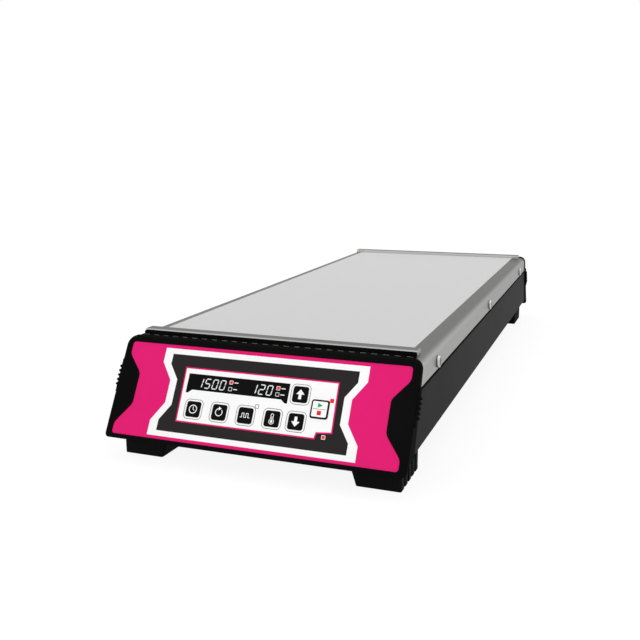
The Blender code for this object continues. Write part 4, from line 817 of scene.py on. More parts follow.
def grown(outline, width):
    """An outline set out, or in, by a width on all sides, with its corners kept."""
    points = [Vector(point) for point in outline]
    area = sum(here.cross(after) for here, after in zip(points, points[1:] + points[:1]))
    moved_points = []
    for before, here, after in zip(points[-1:] + points[:-1], points, points[1:] + points[:1]):
        first, second = (here - before).normalized(), (after - here).normalized()
        outward = Vector((first.y + second.y, -first.x - second.x)) * math.copysign(1, area)
        moved_points.append(tuple(here + outward * width / (1 + first.dot(second))))
    return moved_points


def rounded(middle, width, height, corner, steps=5):
    """An outline of a rectangle with round corners, in millimetres."""
    points = []
    for turn, (side_x, side_y) in enumerate(((1, 1), (-1, 1), (-1, -1), (1, -1))):
        x = middle[0] + side_x * (width / 2 - corner)
        y = middle[1] + side_y * (height / 2 - corner)
        for step in range(steps + 1):
            angle = math.pi / 2 * (turn + step / steps)
            points.append((x + corner * math.cos(angle), y + corner * math.sin(angle)))
    return points


def eased(outline, reach, steps=4):
    """An outline whose corners are rounded from a distance before them, in millimetres."""
    points = [Vector(point) for point in outline]
    curve = []
    for before, here, after in zip(points[-1:] + points[:-1], points, points[1:] + points[:1]):
        start = here + (before - here).normalized() * reach
        end = here + (after - here).normalized() * reach
        for step in range(steps + 1):
            share = step / steps
            curve.append(tuple(start.lerp(here, share).lerp(here.lerp(end, share), share)))
    return curve


def window_outline(growth=0):
    """The outline of the display window, with a small foot at each lower corner, in millimetres."""
    (left, right), foot, low, top = WINDOW
    outline = [
        (left, top), (left, foot), (left + FOOT_FLAT, foot), (left + FOOT_REACH, low),
        (right - FOOT_REACH, low), (right - FOOT_FLAT, foot), (right, foot), (right, top),
    ]
    return grown(outline, growth) if growth else outline


def key_outline(key, growth=0):
    """The outline of a key, set out by a growth, in millimetres."""
    x, y, size = KEYS[key]
    return rounded((x, y), size + 2 * growth, size + 2 * growth, KEY_CORNER + growth)


def as_mesh(name, curve, matrix):
    """A drawn curve made a mesh and set in its place."""
    piece = bpy.data.objects.new(name, curve)
    bpy.context.scene.collection.objects.link(piece)
    take(piece)
    bpy.ops.object.convert(target="MESH")
    piece = bpy.context.object
    bpy.ops.object.mode_set(mode="EDIT")
    bpy.ops.mesh.select_all(action="SELECT")
    bpy.ops.mesh.remove_doubles(threshold=TINY / 20)
    bpy.ops.mesh.dissolve_limited(angle_limit=math.radians(1))
    bpy.ops.mesh.select_all(action="SELECT")
    bpy.ops.mesh.normals_make_consistent(inside=False)
    return moved(piece, matrix)


def draw(curve, outline, closed=True):
    """Draws an outline, in millimetres, into a curve."""
    line = curve.splines.new("POLY")
    line.points.add(len(outline) - 1)
    line.use_cyclic_u = closed
    for point, (x, y) in zip(line.points, outline):
        point.co = (x * MILLIMETRE, y * MILLIMETRE, 0, 1)


def cut_out(name, outlines, low, high, matrix=front_face):
    """A flat shape between two levels, cut to outlines of which the later ones are holes."""
    curve = bpy.data.curves.new(name, "CURVE")
    curve.dimensions = "2D"
    curve.fill_mode = "BOTH"
    curve.extrude = (high - low) / 2
    for outline in outlines:
        draw(curve, outline)
    return as_mesh(name, curve, matrix @ Matrix.Translation((0, 0, (high + low) / 2)))


def opening(name, outline):
    """A cutter that goes right through the front wall."""
    return cut_out(name + "_opening", [outline], -3 * CAP_WALL, CAP_WALL)


front_shell = another(shell, "front_moulding")
recess = -PANEL_SUNK - PANEL_THICK - FIT
panel_outline = eased(both_sides(LABEL), LABEL_CORNER)
carve(front_shell, cut_out("recess", [grown(panel_outline, HOLE_GAP)], recess, CAP_WALL))
(left, right), foot, low, top = WINDOW
display = grown([(left, low), (right, low), (right, top), (left, top)], -DISPLAY_MARGIN)
openings = [opening("display", display)]
openings += [opening(key, key_outline(key, HOLE_GAP)) for key in KEYS]
carve(front_shell, together("openings", openings))
pieces = [front_shell, another(ribs, "front_ribs")]
for x in (-BOSSES[0], BOSSES[0]):
    for y in BOSSES[1]:
        boss = begin(
            "boss", "cylinder", vertices=24, radius=BOSS_RADIUS, depth=BOSS_DEPTH + recess,
            location=(x, y, (recess - BOSS_DEPTH) / 2),
        )
        pieces.append(moved(soften(boss, MOULD_EDGE), front_face))
hand_in(together("front_moulding", pieces), cap_black, "housing", "cap_plastic", "front_cap")
slot_steel = metal("slot_steel", (0.36, 0.36, 0.35), (0.36, 0.36, 0.35), "x", 0.4)
hand_in(another(strips, "front_slot_strips"), slot_steel, "housing", "screw_steel")

# Rear cap
# The rear moulding is the same shell turned round, with a bay in its middle whose floor carries the
# mains inlet and the power switch under a sheltering brow.
BAY_HALF = 0.048
BAY_LOW = 0.0300
BAY_HIGH = 0.0690
BAY_SHELTER = 0.0036
INLET_X = -0.022
INLET_HOLE = (0.0138, 0.0153)
SWITCH_X = 0.024
SWITCH_HOLE = (0.0072, 0.0122)

bay_middle = (BAY_LOW + BAY_HIGH) / 2
bay_plate = top_front - (cap_top - BAY_HIGH) * math.tan(FACE_LEAN) + BAY_SHELTER


def bay_block(name, x, half_x, front, back, half_z, level=bay_middle):
    """A block in the bay, as wide and as high on both sides of its middle."""
    return block(name, (x - half_x, front, level - half_z), (x + half_x, back, level + half_z))


rear_shell = another(shell, "rear_moulding")
carve(rear_shell, leaning(
    "bay_walls", (-BAY_HALF - CAP_WALL, chin.y, BAY_LOW - CAP_WALL),
    (BAY_HALF + CAP_WALL, bay_plate + CAP_WALL, BAY_HIGH + CAP_WALL), CAP_WALL / 2,
), "UNION")
bay = block("bay_space", (-BAY_HALF, chin.y - CAP_WALL, BAY_LOW), (BAY_HALF, bay_plate, BAY_HIGH))
edit(bay)
choose("edges", along(1))
round_off(CAP_WALL, 5)
carve(rear_shell, bay)
holes = []
for x, (half_x, half_z) in ((INLET_X, INLET_HOLE), (SWITCH_X, SWITCH_HOLE)):
    holes.append(bay_block("bay_hole", x, half_x, bay_plate - CAP_WALL, bay_plate + 2 * CAP_WALL, half_z))
carve(rear_shell, together("bay_holes", holes))
rear_cap = together("rear_moulding", [rear_shell, another(ribs, "rear_ribs")])
hand_in(moved(rear_cap, half_turn), cap_black, "housing", "cap_plastic", "rear_cap")
hand_in(another(strips, "rear_slot_strips", half_turn), slot_steel, "housing", "screw_steel")
for spare in (shell, ribs, strips):
    bpy.data.objects.remove(spare)

# Feet
# Four moulded rubber blocks screwed up into the tray. The inner side tapers, the outer side has
# upright grooves, and the sole is dished with a deep hole for the screw.
FOOT_TAPER = 0.0070
FOOT_ROUND = 0.0016
GROOVE_WIDTH = 0.0030
GROOVE_DEPTH = 0.0018
GROOVE_PITCH = 0.0090
GROOVE_COUNT = 4
SOLE_RIM = 0.0045
SOLE_DEPTH = 0.0010
SOLE_HOLE = 0.0040
FOOT_EDGE = 0.0006

foot_low, foot_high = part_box("foot_front_right")
foot = block("foot", foot_low, foot_high)
edit(foot)
choose("verts", lambda vert: vert.co.z < TINY and vert.co.x < foot_low.x + TINY)
bpy.ops.transform.translate(value=(FOOT_TAPER, 0, 0))
choose("faces", facing(2, -1))
bpy.ops.mesh.inset(thickness=SOLE_RIM)
pull((0, 0, SOLE_DEPTH))
choose("edges", along(2))
round_off(FOOT_ROUND, 4)
middle_y = (foot_low.y + foot_high.y) / 2
grooves = []
for shift in spaced(GROOVE_COUNT, GROOVE_PITCH):
    y = middle_y + shift
    groove = block(
        "groove", (foot_high.x - GROOVE_DEPTH, y - GROOVE_WIDTH / 2, -GROOVE_DEPTH),
        (foot_high.x + GROOVE_DEPTH, y + GROOVE_WIDTH / 2, foot_high.z + GROOVE_DEPTH),
    )
    edit(groove)
    choose("edges", lambda edge: along(2)(edge) and middle_of(edge).x < foot_high.x)
    round_off(GROOVE_DEPTH / 3, 3)
    grooves.append(groove)
grooves.append(begin(
    "screw_hole", "cylinder", vertices=32, radius=SOLE_HOLE, depth=foot_high.z,
    location=((foot_low.x + FOOT_TAPER + foot_high.x) / 2, middle_y, 0),
))
carve(foot, together("grooves", grooves))
soften(foot, FOOT_EDGE, 3)
rubber = moulded(
    "black_rubber", (0.0095, 0.0095, 0.0095), (0.0075, 0.0075, 0.0076), 0.62, 0.012, 1100, 0.00006
)
across = Matrix.Translation((0, 2 * middle_y, 0)) @ half_turn
for name, matrix in (
    ("front_right", Matrix.Identity(4)), ("front_left", across), ("rear_left", half_turn),
    ("rear_right", half_turn @ across),
):
    rubber_foot = another(foot, "rubber_foot_" + name, matrix)
    hand_in(rubber_foot, rubber, "housing", "foot_rubber", "foot_" + name)
bpy.data.objects.remove(foot)

# Control panel
# A printed film on a stiff backing, glued in the recess of the front cap. The print is a strong pink
# with a white and a dark grey field, and a white inner field round the display and the keys.
INK = 0.00003
BAND = ((79.0, 6.3), (79.0, 17.0), (70.0, 30.8), (70.0, 47.6), (79.0, 60.5), (79.0, 71.5))
FIELD = ((72.2, 10.2), (72.2, 18.1), (64.5, 29.7), (64.5, 48.6), (72.3, 59.6), (72.3, 67.4))
INNER = ((47.6, 19.0), (48.4, 23.0), (59.2, 24.0), (58.5, 57.6), (-58.4, 57.6), (-57.5, 19.1))
LINE_WIDTH = 1.0
RING_GAP = 1.50
RING_WIDTH = 0.34
FILM_EDGE = 0.00012
FILM_GLOSS = 0.06

surface = -PANEL_SUNK
holes = [window_outline(HOLE_GAP)] + [key_outline(key, HOLE_GAP) for key in KEYS]
label = cut_out("panel_film", [panel_outline, *holes], surface - PANEL_THICK, surface)
soften(label, FILM_EDGE)


def film(name, colour, roughness=0.44):
    """Ink under a finely textured polyester film."""
    finish = Finish(name, Specular_IOR_Level=FILM_GLOSS)
    texture = finish.noise(2600, 2)
    drift = finish.noise(10, 3)
    deeper = [part * 0.93 for part in colour]
    finish.set(
        Base_Color=finish.blend(drift.rise(0.30, 0.70) * 0.7 + texture * 0.3, deeper, colour),
        Roughness=texture * 0.10 + (roughness - 0.05),
        Normal=finish.bump(texture, 0.00002, 0.3),
    )
    return finish


pink = film("pink_ink", (0.765, 0.012, 0.170))
white = film("white_ink", (0.95, 0.95, 0.95))
grey = film("dark_grey_ink", (0.020, 0.018, 0.018))
hand_in(label, pink, "housing", "panel_print", "control_panel")


def printed(name, outlines, ink, body="housing", level=surface, slot="panel_print"):
    """A printed shape on a surface of the panel, its window or a key."""
    return hand_in(cut_out(name, outlines, level - INK, level + INK), ink, body, slot)


printed("white_band", [both_sides(BAND), both_sides(FIELD)], white)
printed("grey_field", [both_sides(FIELD), grown(INNER, LINE_WIDTH)], grey)
printed("pink_line", [grown(INNER, LINE_WIDTH), INNER], pink)
printed("white_field", [INNER, *holes], white)
rings = []
for key in KEYS:
    if key != "start_stop_key":
        rings.append(cut_out(
            key + "_ring", [key_outline(key, RING_GAP + RING_WIDTH), key_outline(key, RING_GAP)],
            surface + INK / 2, surface + 2 * INK,
        ))
hand_in(together("key_rings", rings), grey, "housing", "panel_print")

# Indicator lamps
# Small square lamps under the film: two at each number on the display, one by the pulse key, one by
# the start key and one for the hot plate. A lit one is red inside its line.
LAMP_SIZE = 2.5
LAMP_LINE = 0.35
LAMP_CORNER = 0.3

red = film("red_lamp", (0.80, 0.020, 0.020), 0.30)
red.set(Emission_Color=(0.9, 0.03, 0.03), Emission_Strength=0.12)


def lamp(name, place, level, lit, ink):
    """A square lamp with its line."""
    inside = rounded(place, LAMP_SIZE - LAMP_LINE, LAMP_SIZE - LAMP_LINE, LAMP_CORNER)
    outside = rounded(place, LAMP_SIZE + LAMP_LINE, LAMP_SIZE + LAMP_LINE, LAMP_CORNER * 1.5)
    printed(name + "_line", [outside, inside], ink, level=level)
    if lit:
        printed(name + "_light", [inside], red, level=level)


lamp("start_lamp", (56.2, 45.3), surface + INK, True, red)
lamp("pulse_lamp", (2.4, 35.6), surface + INK, False, grey)
lamp("hot_lamp", (54.4, 20.1), surface + INK, True, white)

# Display window
# A smoked acrylic window flush with the film, with small feet at its lower corners. Seven-segment
# numbers glow behind it: the speed at the left and the temperature at the right, with their lamps.
DIGIT_HEIGHT = 7.5
DIGIT_WIDTH = 4.4
DIGIT_STROKE = 0.75
DIGIT_PITCH = 6.0
DIGIT_LEAN = math.tan(math.radians(8))
DIGIT_LOW = 44.05
BAR_GAP = 0.12
TICK = (3.2, 0.7, 0.3)
TICK_SHIFT = 3.9
WINDOW_EDGE = 0.00015
BARS = {"0": "abcdef", "1": "bc", "2": "abged", "5": "afgcd"}

window = cut_out("smoked_window", [window_outline()], surface - PANEL_THICK, surface)
soften(window, WINDOW_EDGE)
smoked = moulded(
    "smoked_acrylic", (0.0040, 0.0040, 0.0044), (0.0032, 0.0032, 0.0036), 0.16, 0.035, 60, 0.00001
)
hand_in(window, smoked, "housing", "window_plastic", "display_window")


def number_bar(name, left):
    """The outline of one bar of a seven-segment number, which leans a little."""
    half = DIGIT_STROKE / 2
    level = {"a": DIGIT_HEIGHT - half, "g": DIGIT_HEIGHT / 2, "d": half}
    if name in level:
        y = level[name]
        low, top = half + BAR_GAP, DIGIT_WIDTH - half - BAR_GAP
        points = [
            (low, y), (low + half, y - half), (top - half, y - half), (top, y), (top - half, y + half),
            (low + half, y + half),
        ]
    else:
        x = DIGIT_WIDTH - half if name in "bc" else half
        low, top = (DIGIT_HEIGHT / 2, DIGIT_HEIGHT - half) if name in "bf" else (half, DIGIT_HEIGHT / 2)
        low, top = low + BAR_GAP, top - BAR_GAP
        points = [
            (x, low), (x + half, low + half), (x + half, top - half), (x, top), (x - half, top - half),
            (x - half, low + half),
        ]
    return [(left + x + y * DIGIT_LEAN, DIGIT_LOW + y) for x, y in points]


glowing = film("display_light", (0.72, 0.74, 0.74), 0.35)
glowing.set(Emission_Color=(0.9, 0.95, 1.0), Emission_Strength=0.08)
for name, number, left in (("speed_number", "1500", -47.9), ("temperature_number", "120", -5.3)):
    bars = []
    for step, digit in enumerate(number):
        for bar in BARS[digit]:
            outline = number_bar(bar, left + step * DIGIT_PITCH)
            bars.append(cut_out("bar", [outline], surface - INK, surface + INK))
    hand_in(together(name, bars), glowing, "housing", "window_plastic")
for name, place, lit in (
    ("speed_upper_lamp", (-20.8, 50.5), True), ("speed_lower_lamp", (-20.8, 45.7), False),
    ("temperature_upper_lamp", (15.7, 50.0), True), ("temperature_lower_lamp", (15.7, 45.6), False),
):
    lamp(name, place, surface, lit, glowing)
    tick = rounded((place[0] + TICK_SHIFT, place[1]), *TICK)
    printed(name + "_tick", [tick], glowing, slot="window_plastic")

# Keys
# Seven moulded keys stand a little proud of the film and press on switches of the display board. A
# flange behind the front wall holds each one in. Plain signs are printed on them.
KEY_PROUD = 0.0006
KEY_FLANGE = 0.7
KEY_FLANGE_THICK = 0.0005
KEY_DOME = 0.00035

key_top = KEY_PROUD - PANEL_SUNK
key_shoulder = -CAP_WALL - FIT
black_key = moulded("black_key", (0.0042, 0.0042, 0.0042), (0.0032, 0.0032, 0.0034), 0.38, 0.035, 2400)
green = film("green_ink", (0.010, 0.36, 0.16))
signal_red = film("signal_red_ink", (0.78, 0.020, 0.030))


def stroke(name, path, width, key, closed=False):
    """A drawn line of a sign, in millimetres from the middle of its key."""
    curve = bpy.data.curves.new(name, "CURVE")
    curve.dimensions = "3D"
    curve.bevel_depth = width * MILLIMETRE / 2
    curve.bevel_resolution = 2
    curve.use_fill_caps = True
    draw(curve, path, closed)
    flat = Matrix.Diagonal((1, 1, 2 * INK / (width * MILLIMETRE), 1))
    place = Matrix.Translation((KEYS[key][0] * MILLIMETRE, KEYS[key][1] * MILLIMETRE, key_top))
    return as_mesh(name, curve, front_face @ place @ flat)


def filled(name, outline, key):
    """A filled part of a sign, in millimetres from the middle of its key."""
    x, y = KEYS[key][:2]
    return cut_out(name, [[(x + dx, y + dy) for dx, dy in outline]], key_top - INK, key_top + INK)


def arc(radius, start=0, end=360, middle=(0, 0), step=15):
    """Points along an arc, in millimetres."""
    count = max(2, round((end - start) / step))
    x, y = middle
    angles = [math.radians(start + (end - start) * index / count) for index in range(count + 1)]
    return [(x + radius * math.cos(angle), y + radius * math.sin(angle)) for angle in angles]


def make_sign(key):
    """The printed sign of a black key."""
    if key == "time_key":
        clock = stroke("rim", arc(2.9)[:-1], 0.6, key, closed=True)
        return [clock, stroke("hands", [(0, 1.9), (0, 0), (1.3, -0.75)], 0.55, key)]
    if key == "speed_key":
        return [
            stroke("turn", arc(2.6, 105, 400), 0.6, key),
            filled("head", [(-0.6, 4.0), (-0.6, 1.2), (1.7, 2.7)], key),
        ]
    if key == "pulse_key":
        wave = [(-3.6, -1.4), (-2.4, -1.4), (-2.4, 1.5), (-0.8, 1.5), (-0.8, -1.4)]
        return [stroke("pulse", wave + [(-x, y) for x, y in reversed(wave)], 0.6, key)]
    if key == "temperature_key":
        glass = arc(1.75, 122, 418, (0, -2.0)) + arc(0.93, 0, 180, (0, 2.5))
        return [
            stroke("glass", glass, 0.45, key, closed=True),
            filled("bulb", arc(0.95, middle=(0, -2.0))[:-1], key),
            stroke("column", [(0, -2.0), (0, 1.6)], 0.5, key),
        ]
    up = 1 if key == "up_key" else -1
    half = [(0, 3.5 * up), (3.1, 0), (1.05, 0), (1.05, -3.4 * up)]
    return [filled("arrow", half + [(-x, y) for x, y in reversed(half[1:])], key)]


for key, (x, y, size) in KEYS.items():
    cap = cut_out(key + "_cap", [key_outline(key)], key_shoulder - TINY, key_top)
    edit(cap)
    choose("edges", rim_of(on_face))
    round_off(KEY_DOME, 4)
    carve(cap, cut_out(
        key + "_flange", [rounded((x, y), size + 2 * KEY_FLANGE, size + 2 * KEY_FLANGE, KEY_CORNER)],
        key_shoulder - KEY_FLANGE_THICK, key_shoulder,
    ), "UNION")
    hand_in(cap, black_key, key, "black_key", key)
    if key != "start_stop_key":
        hand_in(together(key + "_sign", make_sign(key)), white, key, "black_key")
        continue
    level = key_top + INK
    for name, outline, ink, level in (
        ("start_stop_field", rounded((x, y), size - 1.9, size - 1.9, 0.9), white, key_top),
        ("start_stop_bar", rounded((x, y), size - 3.2, 0.28, 0.1), grey, level),
        ("start_sign", [(x - 1.5, y + 0.9), (x + 1.9, y + 2.6), (x - 1.5, y + 4.3)], green, level),
        ("stop_sign", rounded((x, y - 2.6), 3.0, 3.0, 0.2), signal_red, level),
    ):
        printed(name, [outline], ink, key, level, "white_key")

# Mains inlet
# A black moulded inlet for a mains lead, pressed into the floor of the bay, with three plated pins in
# its well. The fuse drawer under the well pulls out by its lip.
INLET_FLANGE = (0.0155, 0.0170, 0.0025)
INLET_BODY = (0.0135, 0.0150, 0.0225)
INLET_CORNER = (0.003, 6)
FLANGE_EDGE = 0.0008
BAY_EDGE = 0.0002
WELL = ((12.3, -8.4), (12.3, 3.9), (7.8, 8.4))
WELL_DEPTH = 0.0150
WELL_RISE = 0.0060
PIN_SPREAD = 0.0070
PIN_RISE = 0.0040
PIN_LENGTH = 0.0090
PIN_SIZE = (0.0010, 0.0020)
PIN_TIP = 0.0006
DRAWER = (0.0100, 0.0035, 0.0150)
DRAWER_DROP = 0.0108
DRAWER_LIP = 0.0010
DRAWER_LIP_THICK = 0.0015
DRAWER_NOTCH = 0.0020
DRAWER_EDGE = 0.0003

flange_back = bay_plate - FIT
mouth = flange_back - INLET_FLANGE[2]
drawer_level = bay_middle - DRAWER_DROP
towards_back = Matrix.Rotation(math.pi / 2, 4, "X")


def snapped_in(name, x, flange, body, corner):
    """A moulding for the bay's floor: a flange with round corners and the body behind it."""
    front = flange_back - flange[2]
    piece = bay_block(name, x, flange[0], front, flange_back, flange[1])
    edit(piece)
    choose("edges", along(1))
    round_off(*corner)
    choose("edges", rim_of(facing(1, -1)))
    round_off(FLANGE_EDGE, 3)
    return carve(piece, bay_block("body", x, body[0], front + FIT, front + body[2], body[1]), "UNION")


inlet = snapped_in("inlet_moulding", INLET_X, INLET_FLANGE, INLET_BODY, INLET_CORNER)
well_place = Matrix.Translation((INLET_X, mouth, bay_middle + WELL_RISE)) @ towards_back
carve(inlet, cut_out("well", [both_sides(WELL)], -WELL_DEPTH, WELL_DEPTH, well_place))
carve(inlet, bay_block(
    "drawer_way", INLET_X, DRAWER[0] + FIT, mouth - FIT, mouth + DRAWER[2] + FIT, DRAWER[1] + FIT,
    drawer_level,
))
soften(inlet, BAY_EDGE)
inlet_black = moulded("inlet_plastic", (0.012, 0.012, 0.012), (0.008, 0.008, 0.009), 0.34, 0.25, 1600)
hand_in(moved(inlet, half_turn), inlet_black, "housing", "inlet_plastic", "power_inlet")

pin = block("pin", (-PIN_SIZE[0], -PIN_LENGTH, -PIN_SIZE[1]), (PIN_SIZE[0], FIT, PIN_SIZE[1]))
edit(pin)
choose("edges", rim_of(facing(1, -1)))
round_off(PIN_TIP, 3)
pins = []
for side, rise in ((-1, -0.5), (0, 0.5), (1, -0.5)):
    level = bay_middle + WELL_RISE + rise * PIN_RISE
    place = Matrix.Translation((INLET_X + side * PIN_SPREAD, mouth + WELL_DEPTH, level))
    pins.append(another(pin, "pin", half_turn @ place))
bpy.data.objects.remove(pin)
# The pins are painted a little darker where they face up: painted shade.
plated = metal("plated_pins", (0.72, 0.70, 0.64), (0.66, 0.64, 0.58), "y", 0.22)
hand_in(together("inlet_pins", pins), plated, "housing", "screw_steel")

drawer = bay_block(
    "fuse_holder", INLET_X, DRAWER[0], mouth - DRAWER_LIP_THICK / 2, mouth + DRAWER[2], DRAWER[1],
    drawer_level,
)
carve(drawer, bay_block(
    "drawer_lip", INLET_X, DRAWER[0] + DRAWER_LIP, mouth - FIT - DRAWER_LIP_THICK, mouth - FIT,
    DRAWER[1] + DRAWER_LIP, drawer_level,
), "UNION")
drawer_top = drawer_level + DRAWER[1]
carve(drawer, block(
    "notch", (INLET_X - DRAWER_NOTCH, mouth - CAP_WALL, drawer_top - DRAWER_LIP),
    (INLET_X + DRAWER_NOTCH, mouth - DRAWER_LIP_THICK / 2 - FIT, drawer_top + 2 * DRAWER_LIP),
))
soften(drawer, DRAWER_EDGE, 3)
drawer_grey = moulded("drawer_plastic", (0.022, 0.022, 0.023), (0.017, 0.017, 0.018), 0.40, 0.25, 1600)
hand_in(moved(drawer, half_turn), drawer_grey, "fuse_drawer", "inlet_plastic", "fuse_drawer")

# Power switch
# A rocker switch snapped into the floor of the bay: a black frame and a curved rocker that tilts in
# it, with a bar for on and a ring for off.
SWITCH_FLANGE = (0.0085, 0.0135, 0.0020)
SWITCH_BODY = (0.0069, 0.0119, 0.0146)
SWITCH_CORNER = (0.0015, 5)
ROCKER_RADIUS = 0.0100
ROCKER_HALF = 0.0056
ROCKER_TILT = math.radians(10)
ROCKER_DISH = 0.0016
PIVOT_DEPTH = 0.0010
ROCKER_EDGE = 0.0004

switch = snapped_in("switch_surround", SWITCH_X, SWITCH_FLANGE, SWITCH_BODY, SWITCH_CORNER)
switch_mouth = flange_back - SWITCH_FLANGE[2]
pivot = switch_mouth + PIVOT_DEPTH
carve(switch, bay_block(
    "rocker_space", SWITCH_X, ROCKER_HALF + FIT, switch_mouth - FIT, pivot + ROCKER_RADIUS + FIT,
    ROCKER_RADIUS + FIT,
))
soften(switch, BAY_EDGE)
hand_in(moved(switch, half_turn), inlet_black, "housing", "inlet_plastic", "switch_frame")

tip_out = ROCKER_DISH + ROCKER_RADIUS * math.sin(ROCKER_TILT)
tip_up = math.sqrt(ROCKER_RADIUS ** 2 - tip_out ** 2)
tip_angle = math.degrees(math.asin(tip_out / ROCKER_RADIUS))
profile = arc(ROCKER_RADIUS / MILLIMETRE, 180 - tip_angle, 360 + tip_angle, step=6)
profile.append((0, ROCKER_DISH / MILLIMETRE))
side_on = Matrix(((0, 0, 1, 0), (0, -1, 0, 0), (1, 0, 0, 0), (0, 0, 0, 1)))
rocker_place = half_turn @ Matrix.Translation((SWITCH_X, pivot, bay_middle))
rocker_place @= Matrix.Rotation(-ROCKER_TILT, 4, "X")
rocker = cut_out("rocker", [profile], -ROCKER_HALF, ROCKER_HALF, rocker_place @ side_on)
soften(rocker, ROCKER_EDGE, 3)
rocker_black = moulded(
    "rocker_plastic", (0.0095, 0.0095, 0.0100), (0.0070, 0.0070, 0.0074), 0.28, 0.30, 1600
)
hand_in(rocker, rocker_black, "switch_rocker", "rocker_plastic", "switch_rocker")
slope = math.atan2(tip_out - ROCKER_DISH, tip_up)
marks = []
for name, side, outlines in (
    ("on_bar", 1, [rounded((0, 0), 0.6, 3.6, 0.2)]),
    ("off_ring", -1, [arc(1.9)[:-1], arc(1.35)[:-1]]),
):
    middle = Matrix.Translation((0, -(tip_out + ROCKER_DISH) / 2, side * tip_up / 2))
    seat = rocker_place @ middle @ Matrix.Rotation(side * slope, 4, "X") @ towards_back
    marks.append(cut_out(name, outlines, -INK, 2 * INK, seat))
hand_in(together("rocker_marks", marks), white, "switch_rocker", "rocker_plastic")

# Heater and sensor
# A silicone mat with a heating wire lies on a pressed fibre board under the work surface, and a metal
# sensor is clamped against it. Glass cloth shows as a fine weave in the silicone.
WEAVE_PITCH = 0.0012
HEATING_WIRE_PITCH = 0.0160


def refinish(finish, *names):
    """Gives solids that stay as they are their material."""
    for name in names:
        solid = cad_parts[name]
        if not solid.data.materials:
            solid.data.materials.append(finish.material)
        for place in solid.material_slots:
            place.material = finish.material


silicone = Finish("heater_silicone", Specular_IOR_Level=0.30)
weave = silicone.axis(0).wave(WEAVE_PITCH) * silicone.axis(1).wave(WEAVE_PITCH)
wire = silicone.axis(0).wave(HEATING_WIRE_PITCH).rise(0.86, 0.97)
silicone.set(
    Base_Color=silicone.blend(weave * 0.5 + wire * 0.5, (0.34, 0.060, 0.022), (0.52, 0.115, 0.045)),
    Roughness=weave * 0.15 + 0.42,
    Normal=silicone.bump(weave + wire * 2, 0.00012),
)
refinish(silicone, "heater_mat")
fibre = Finish("pressed_fibre", Specular_IOR_Level=0.10)
strands = fibre.noise(520, 6, (1, 0.22, 1))
clumps = fibre.noise(60, 4)
fibre.set(
    Base_Color=fibre.blend(strands * 0.6 + clumps * 0.4, (0.55, 0.52, 0.45), (0.78, 0.76, 0.70)),
    Roughness=clumps * 0.10 + 0.82,
    Normal=fibre.bump(strands, 0.0003),
)
refinish(fibre, "insulation_board")
# The sensor is painted a little darker where it faces up: painted shade.
refinish(metal("sensor_metal", (0.60, 0.58, 0.54), (0.52, 0.50, 0.46), "y", 0.35), "temperature_sensor")

# Drive
# A folded steel deck carries ten fixed spindles and the motor. The belt runs round the motor's pulley
# and the pulleys of the rotors, and each rotor carries a bar magnet in a slot of its disc.
POSITION_PITCH = 0.1
POSITIONS = range(1, 11)
TURNING_PITCH = 0.0006

half_pitch = POSITION_PITCH / 2
zinc = Finish("zinc_plated_steel", Metallic=1.0)
spangle = zinc.cells(70)
zinc.set(
    Base_Color=zinc.blend(spangle.rise(0.0, 0.9), (0.42, 0.43, 0.44), (0.62, 0.63, 0.64)),
    Roughness=spangle * 0.25 + 0.28,
    Normal=zinc.bump(spangle, 0.00003, 0.3),
)
refinish(zinc, "drive_deck")


def lathed(name, light, dark, shift, **plain):
    """A turned piece: fine rings round the middle of each position, the middles a pitch apart."""
    finish = Finish(name, **plain)
    x, y = [
        (finish.axis(index) + shift[index]).repeat(POSITION_PITCH) - half_pitch for index in (0, 1)
    ]
    rings = ((x * x + y * y) ** 0.5).wave(TURNING_PITCH)
    drift = finish.noise(30, 3)
    finish.set(
        Base_Color=finish.blend(rings * 0.4 + drift * 0.6, dark, light),
        Roughness=rings * 0.08 + drift * 0.08 + 0.26,
        Normal=finish.bump(rings, 0.00002, 0.3),
    )
    return finish


rotor_white = lathed(
    "turned_acetal", (0.78, 0.78, 0.75), (0.66, 0.66, 0.63), (0, half_pitch), Specular_IOR_Level=0.4
)
refinish(rotor_white, *[f"rotor_{number}" for number in POSITIONS])
motor_y = sum(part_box("motor_pulley"), Vector()).y / 2
motor_metal = lathed(
    "turned_motor_metal", (0.62, 0.62, 0.63), (0.50, 0.50, 0.51), (half_pitch, half_pitch - motor_y),
    Metallic=1.0,
)
refinish(motor_metal, "drive_motor", "motor_pulley")
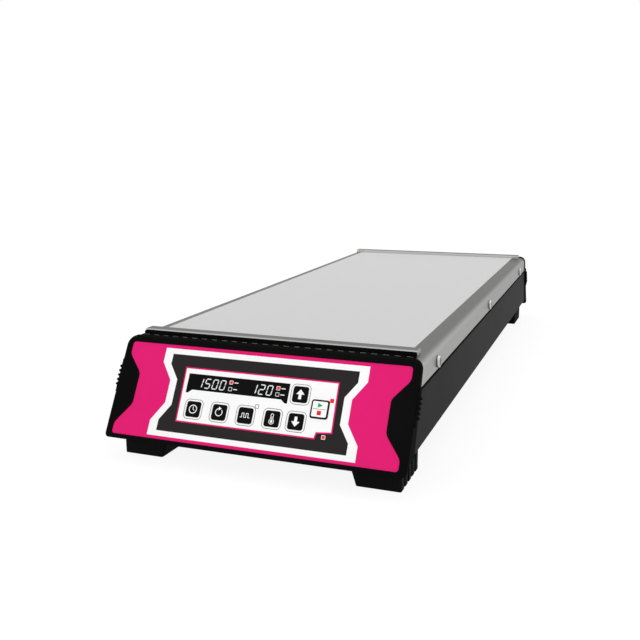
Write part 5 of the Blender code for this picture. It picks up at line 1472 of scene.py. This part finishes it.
# The magnets are painted a little darker where they face up: painted shade.
nickel = metal("nickel_plated_magnet", (0.50, 0.49, 0.46), (0.42, 0.41, 0.39), "x", 0.25)
refinish(nickel, *[f"magnet_{number}" for number in POSITIONS])
belt_black = moulded("belt_rubber", (0.016, 0.016, 0.016), (0.009, 0.009, 0.009), 0.62, 0.2, 1400, 0.0001)
refinish(belt_black, "drive_belt")

# Boards and wiring
# Green fibreglass boards with copper tracks and dark parts: two on the tray's floor and one behind the
# keys. A flat ribbon joins the display board to the control board, and a sheathed lead the inlet.
BOARD_SHEET = 0.0016
DISPLAY_BOARD_DEPTH = 0.0085
TRACK_PITCH = 0.0036
WIRE_PITCH = 0.00127
RED_EDGE = 0.0585


def circuit(name, height_over_board):
    """A board's green mask with its tracks, and dark parts where it rises over the board."""
    finish = Finish(name, Specular_IOR_Level=0.35)
    parts = height_over_board(finish).rise(0.0001, 0.0003)
    tracks = finish.axis(0).wave(TRACK_PITCH).rise(0.78, 0.86) * finish.noise(90, 2).rise(0.45, 0.52)
    mask = finish.blend(tracks, (0.008, 0.075, 0.026), (0.020, 0.150, 0.055))
    finish.set(
        Base_Color=finish.blend(parts, mask, (0.014, 0.014, 0.015)),
        Roughness=finish.noise(400) * 0.15 + parts * 0.15 + 0.25,
        Normal=finish.bump(tracks, 0.00005),
    )
    return finish


for board in ("control_board", "power_board"):
    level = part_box(board)[0].z + BOARD_SHEET
    refinish(circuit(board + "_mask", lambda finish: finish.axis(2) - level), board)
refinish(circuit("display_board_mask", lambda finish: (
    (finish.axis(1) - chin.y) * face_out.y + (finish.axis(2) - chin.z) * face_out.z + DISPLAY_BOARD_DEPTH
)), "display_board")
ribbon = Finish("ribbon_sheath", Specular_IOR_Level=0.25)
wires = ribbon.axis(0).wave(WIRE_PITCH)
greys = ribbon.blend(wires, (0.24, 0.24, 0.25), (0.42, 0.42, 0.43))
ribbon.set(
    Base_Color=ribbon.blend(ribbon.axis(0).rise(RED_EDGE, RED_EDGE + FIT), greys, (0.6, 0.03, 0.03)),
    Roughness=wires * 0.10 + 0.45,
    Normal=ribbon.bump(wires, 0.0003),
)
refinish(ribbon, "display_ribbon")
sheath = moulded("lead_sheath", (0.030, 0.030, 0.032), (0.020, 0.020, 0.021), 0.45, 0.25, 900, 0.00006)
refinish(sheath, "mains_harness")
